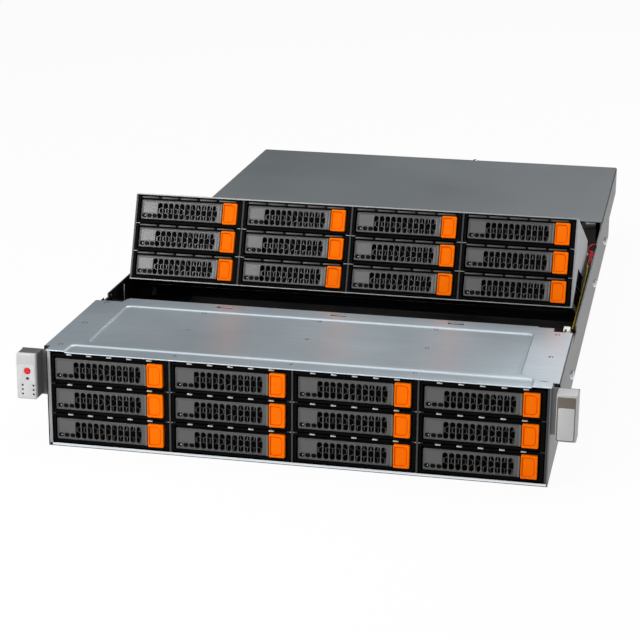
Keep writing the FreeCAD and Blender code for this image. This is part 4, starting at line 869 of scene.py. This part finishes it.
def left_ear():
    """Control panel: two buttons and the status lights in a pale label."""
    holes = [disc(BUTTON_X, POWER_Z, POWER_HOLE), disc(BUTTON_X, RESET_Z, RESET_HOLE, sides=12)]
    lights = [rounded(around(x, z, STATUS_HALF, STATUS_HALF), STATUS_ROUND, steps=2)
              for x in STATUS_X for z in STATUS_Z]
    outline = rounded(LEFT_LABEL, LEFT_LABEL_ROUND)
    label = prism(outline, holes + lights, LEFT_LABEL_FRONT, LAYER_REAR, LEFT_LABEL_EDGE)
    solids = ear_shell(-EAR_OUTER, -EAR_INNER, holes, SHELL_DARK) + [(label, LABEL_WHITE)]
    for light in lights:
        solids.append((prism(light, [], STATUS_FRONT, STATUS_REAR), DARK_LENS))
    place("control_panel_look", joined("control_panel", solids), "chassis", ["control_panel"])
    for node, profile, z, coat in BUTTONS:
        button = turned(profile, (BUTTON_X, EAR_FRONT, z), "y", sides=28)
        place(f"{node}_look", joined(f"{node}_cap", [(button, coat)]), node, [node])


def right_ear():
    """Block with a brown window behind a bare label, on a folded plate with the rack screw's hole."""
    pane = rounded(PANE, PANE_ROUND)
    label = rounded(RIGHT_LABEL, RIGHT_LABEL_ROUND)
    solids = ear_shell(EAR_INNER, EAR_OUTER, [], SHELL_GRAY)
    solids += [(prism(pane, [], PANE_FRONT, LAYER_REAR, PANE_EDGE), WINDOW_BROWN),
               (prism(label, [], RIGHT_LABEL_FRONT, LAYER_REAR, RIGHT_LABEL_EDGE), LABEL_WHITE)]
    plate_rear = EAR_BACK + EAR_PLATE
    hole = disc(EAR_HOLE_X, EAR_HOLE_Z, EAR_HOLE)
    plate = prism(rect(LOW_SIDE, EAR_LOW, EAR_OUTER, WALL_TOP), [hole], EAR_BACK, plate_rear)
    flange = block((LOW_SIDE, plate_rear, EAR_LOW), (LOW_SIDE + SHEET, SHOULDER, WALL_TOP), 0)
    solids += [(plate, WALL_ZINC), (flange, WALL_ZINC)]
    place("right_ear_look", joined("right_ear", solids), "chassis", ["right_ear"])


# Wires

YELLOW_ROUTE = [(216.8, 183, 81), (217.8, 196, 77), (218.6, 225, 67), (218.6, 300, 64.5),
                (218.6, 380, 65.5), (218.4, 440, 68), (213.5, 505, 54), (209.5, 545, 45), (209, 560, 46)]
RED_ROUTE = [(206.5, 560, 41), (206.5, 540, 41), (217, 515, 66), (214.6, 495, 51), (213.4, 490, 30),
             (213, 490, 14)]
RED_LOOP = [(206.5, 560, 41), (208.6, 550, 44), (217.5, 546, 57.5), (211.5, 545, 62), (218.5, 548, 67),
            (219, 556, 56), (213, 560, 46)]
STRAND = 0.75
YELLOW_STRANDS = ((-0.9, 0.9, WIRE_YELLOW), (0.9, 1.0, WIRE_BLACK), (-0.9, -0.9, WIRE_BLACK),
                  (0.9, -0.8, WIRE_YELLOW))
RED_STRANDS = ((-0.9, 0.9, WIRE_RED), (0.9, 0.9, WIRE_RED), (0.0, -0.8, WIRE_BLACK))
PLUGS = (((214.2, 171, 79), (219, 174, 84), PLUG_WHITE),
         ((213.6, 174, 78), (219.6, 183, 84.6), PLUG_WHITE),
         ((202, 560, 36), (216, 570, 51), PLUG_WHITE),
         ((209, 484, 1.2), (217, 496, 14), SOCKET_BLACK))


def wires():
    """Two bundles and a loose loop along the right wall, with the plugs at their ends."""
    solids = [(block(low, high, edge=0.5), coat) for low, high, coat in PLUGS]
    for across, up, coat in YELLOW_STRANDS:
        solids.append((strand([(x + across, y, z + up) for x, y, z in YELLOW_ROUTE], STRAND), coat))
    for across, up, coat in RED_STRANDS:
        solids.append((strand([(x + across, y + up, z + up) for x, y, z in RED_ROUTE], STRAND), coat))
    solids.append((strand(RED_LOOP, STRAND), WIRE_RED))
    place("wire_harness_look", joined("wires", solids), "chassis", ["wire_harness"])


# The middle bank's tray, and the front edges of both banks' dividers

TRAY_BACK, TRAY_LIP, TRAY_SIDE, TRAY_UNDER = 178.0, 10.8, 1.6, 0.5
MID_FRONT = MID_FACE + 0.5
LIP_FRONT = MID_FRONT - 0.3
MID_EDGE_TOP = MID_TOP - 0.3
RIB = ((-210.0, MID_FRONT + 40, MID_FLOOR - 0.25), (210.0, MID_FRONT + 41, MID_FLOOR))
CAGE_FRONT, CAGE_TOP = 0.5, BODY_TOP - 2
EDGE_HALF, EDGE_DEEP = 0.75, 0.25
DASH_HALF, DASH_TALL = 2.2, 0.3


def mid_tray():
    """Floor of the bank: a thin bright front edge, black underneath, with a rib below it."""
    rear, top = MID_FACE + TRAY_BACK, MID_FLOOR + SHEET
    under, inner = MID_FLOOR + TRAY_UNDER, MID_HALF - TRAY_SIDE
    # the tray's top, rear lip and the strip over the left plate's front edge are in the darkened zinc,
    # its underside in the near-black sheet: painted shade
    solids = [(block((-MID_HALF, MID_FRONT, under), (MID_HALF, rear, top), 0), SHADED_ZINC),
              (block((-MID_HALF, LIP_FRONT, top), (-inner, MID_FRONT, MID_TOP - SHEET), 0), SHADED_ZINC),
              (block((-MID_HALF, MID_FRONT, MID_FLOOR), (MID_HALF, rear, under), 0), DARK_SHEET_AND_SHADE),
              (block((-MID_HALF, LIP_FRONT, under), (MID_HALF, MID_FRONT, top), 0), LIP_ZINC),
              (block((-inner, rear - SHEET, top), (inner, rear, TRAY_LIP), 0), SHADED_ZINC),
              (block(*RIB, 0), SEAL_STRIP)]
    place("mid_tray_look", joined("tray", solids), "mid_bank", ["mid_tray"], raised())
    edge = block((-MID_HALF, LIP_FRONT, MID_TOP - SHEET), (MID_HALF, MID_FRONT, MID_EDGE_TOP), 0)
    place("mid_lid_edge", joined("lid_edge", [(edge, LIP_ZINC)]), "mid_bank", (), raised())


def divider_edges(bank, body, front, low, high, stand):
    """Bare cut edges of a bank's dividers, with the ends of the guide ledges between the rows."""
    solids = []
    face = front - EDGE_DEEP
    for x in spaced(COLUMNS - 1, COLUMN_PITCH):
        solids.append((block((x - EDGE_HALF, face, low), (x + EDGE_HALF, front, high), 0), CUT_EDGE))
        for z in spaced(ROWS - 1, ROW_PITCH, ROW_MID):
            dash = block((x - DASH_HALF, face, z - DASH_TALL), (x + DASH_HALF, front, z + DASH_TALL), 0)
            solids.append((dash, LIP_ZINC))
    place(f"{bank}_divider_edges", joined(f"{bank}_edges", solids), body, (), stand)


# Frame nodes that keep their shape

# the front cage in the darkened zinc and the front backplane in the near-black sheet: painted shade
COATS = ((SHADED_ZINC, ("front_cage",)),
         (DARK_SHEET_AND_SHADE, ("front_backplane",)),
         (SOLDER_MASK, ("mid_backplane", "mainboard", "memory_modules", "expansion_cards")),
         (PIN_STEEL, ("pivot_pins", "rail_studs")),
         (FAN_BLACK, ("fan_wall", "fan_rotor_1", "fan_rotor_2", "fan_rotor_3")),
         (FIN_ALUMINIUM, ("heat_sinks",)),
         (WALL_ZINC, ("rear_panel", "left_ear")),
         (BANK_ZINC, ("mid_cage", "mid_lid")),
         (SUPPLY_CASE, ("psu_lower", "psu_upper")))


def painted():
    for coat, nodes in COATS:
        for node in nodes:
            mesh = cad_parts[node].data
            mesh.materials.clear()
            mesh.materials.append(coat)


# Studio, in metres

EYE = Vector((324.50, -1886.56, 597.88)) * MM
EYE_RIGHT = Vector((0.97893089, 0.20401077, 0.00859697))
EYE_UP = Vector((-0.06873175, 0.28957411, 0.95468465))
LENS_LENGTH, SENSOR = 105.57, 36.0


def camera():
    """The photo's viewpoint, with its slight roll."""
    data = bpy.data.cameras.new("camera")
    data.sensor_width = SENSOR
    data.lens = LENS_LENGTH
    eye = bpy.data.objects.new("camera", data)
    bpy.context.scene.collection.objects.link(eye)
    turn = Matrix((EYE_RIGHT, EYE_UP, EYE_RIGHT.cross(EYE_UP))).transposed().to_4x4()
    eye.matrix_world = Matrix.Translation(EYE) @ turn
    bpy.context.scene.camera = eye


# each lamp's name, place, aim, size and power in watts
LAMPS = (("overhead", (0.0, -0.35, 2.4), (0, -0.1, 0), (3.6, 2.8), 58),
         ("behind_camera", (-1.2, -2.9, 1.4), (0, -0.2, 0.1), (1.6, 0.9), 24),
         ("front_left", (-0.7, -0.95, 0.5), (-0.3, -0.62, 0), (0.4, 0.4), 5),
         ("right_fill", (2.6, -0.8, 1.4), (0.1, 0, 0.05), (1.2, 1.6), 2),
         ("back_right", (0.7, 2.4, 1.9), (0.1, -0.2, 0.08), (1.4, 1.0), 16))


def lamp(name, at, aim, size, power):
    data = bpy.data.lights.new(name, "AREA")
    data.shape = "RECTANGLE"
    data.size, data.size_y = size
    data.energy = power
    light = bpy.data.objects.new(name, data)
    light.location = at
    light.rotation_euler = (Vector(aim) - Vector(at)).to_track_quat("-Z", "Y").to_euler()
    bpy.context.scene.collection.objects.link(light)


FLOOR_HALF, FLOOR_Z = 30.0, -0.0006
FLOOR_COLOUR, FLOOR_WHITE = (0.75, 0.75, 0.75, 1), 0.94


def floor():
    """A pale floor, seen almost white, with a little of the shadow on it."""
    bm = bmesh.new()
    bmesh.ops.create_grid(bm, x_segments=1, y_segments=1, size=FLOOR_HALF)
    mesh = bpy.data.meshes.new("floor")
    bm.to_mesh(mesh)
    bm.free()
    ground = bpy.data.objects.new("floor", mesh)
    bpy.context.scene.collection.objects.link(ground)
    ground.location.z = FLOOR_Z
    mesh.materials.append(floor_paint())


def floor_paint():
    """Plain diffuse for the light that falls on it, a share of even white for the rays that see it."""
    mat = bpy.data.materials.new("floor_white")
    mat.use_nodes = True
    tree = mat.node_tree
    shader = tree.nodes["Principled BSDF"]
    shader.inputs["Base Color"].default_value = FLOOR_COLOUR
    shader.inputs["Roughness"].default_value = 0.9
    shader.inputs["Specular IOR Level"].default_value = 0.0
    white = tree.nodes.new("ShaderNodeEmission")
    path = tree.nodes.new("ShaderNodeLightPath")
    seen = path.outputs["Is Camera Ray"]
    for ray in ("Is Glossy Ray", "Is Transmission Ray"):
        either = tree.nodes.new("ShaderNodeMath")
        either.operation = "MAXIMUM"
        tree.links.new(seen, either.inputs[0])
        tree.links.new(path.outputs[ray], either.inputs[1])
        seen = either.outputs["Value"]
    share = tree.nodes.new("ShaderNodeMath")
    share.operation = "MULTIPLY"
    share.inputs[1].default_value = FLOOR_WHITE
    mix = tree.nodes.new("ShaderNodeMixShader")
    tree.links.new(seen, share.inputs[0])
    tree.links.new(share.outputs["Value"], mix.inputs["Fac"])
    tree.links.new(shader.outputs["BSDF"], mix.inputs[1])
    tree.links.new(white.outputs["Emission"], mix.inputs[2])
    tree.links.new(mix.outputs["Shader"], tree.nodes["Material Output"].inputs["Surface"])
    return mat


SKY_SLANT, SKY_LEVEL = (0.45, -0.1, 0.85), 0.27
SKY_STOPS = ((0.0, (0.16, 0.17, 0.18, 1)), (0.75, (0.80, 0.81, 0.82, 1)))


def sky():
    """Soft surround: light overhead and to the right, gray low down at the left."""
    world = bpy.data.worlds.new("surround")
    bpy.context.scene.world = world
    world.use_nodes = True
    tree = world.node_tree
    spots = tree.nodes.new("ShaderNodeTexCoord")
    slant = tree.nodes.new("ShaderNodeVectorMath")
    slant.operation = "DOT_PRODUCT"
    slant.inputs[1].default_value = SKY_SLANT
    tree.links.new(spots.outputs["Generated"], slant.inputs[0])
    ramp = tree.nodes.new("ShaderNodeValToRGB")
    for stop, (position, colour) in zip(ramp.color_ramp.elements, SKY_STOPS):
        stop.position = position
        stop.color = colour
    tree.links.new(slant.outputs["Value"], ramp.inputs["Fac"])
    background = tree.nodes["Background"]
    tree.links.new(ramp.outputs["Color"], background.inputs["Color"])
    background.inputs["Strength"].default_value = SKY_LEVEL


def studio():
    bpy.context.scene.view_settings.view_transform = "Standard"
    floor()
    sky()
    for name, at, aim, size, power in LAMPS:
        lamp(name, at, aim, size, power)


camera()
carriers()
front_cover()
rear_cover()
tub()
wall_fittings()
left_ear()
right_ear()
wires()
mid_tray()
divider_edges("mid", "mid_bank", MID_FRONT, MID_FLOOR, MID_EDGE_TOP, raised())
divider_edges("front", "chassis", CAGE_FRONT, SHEET, CAGE_TOP, ORIGIN)
painted()
studio()
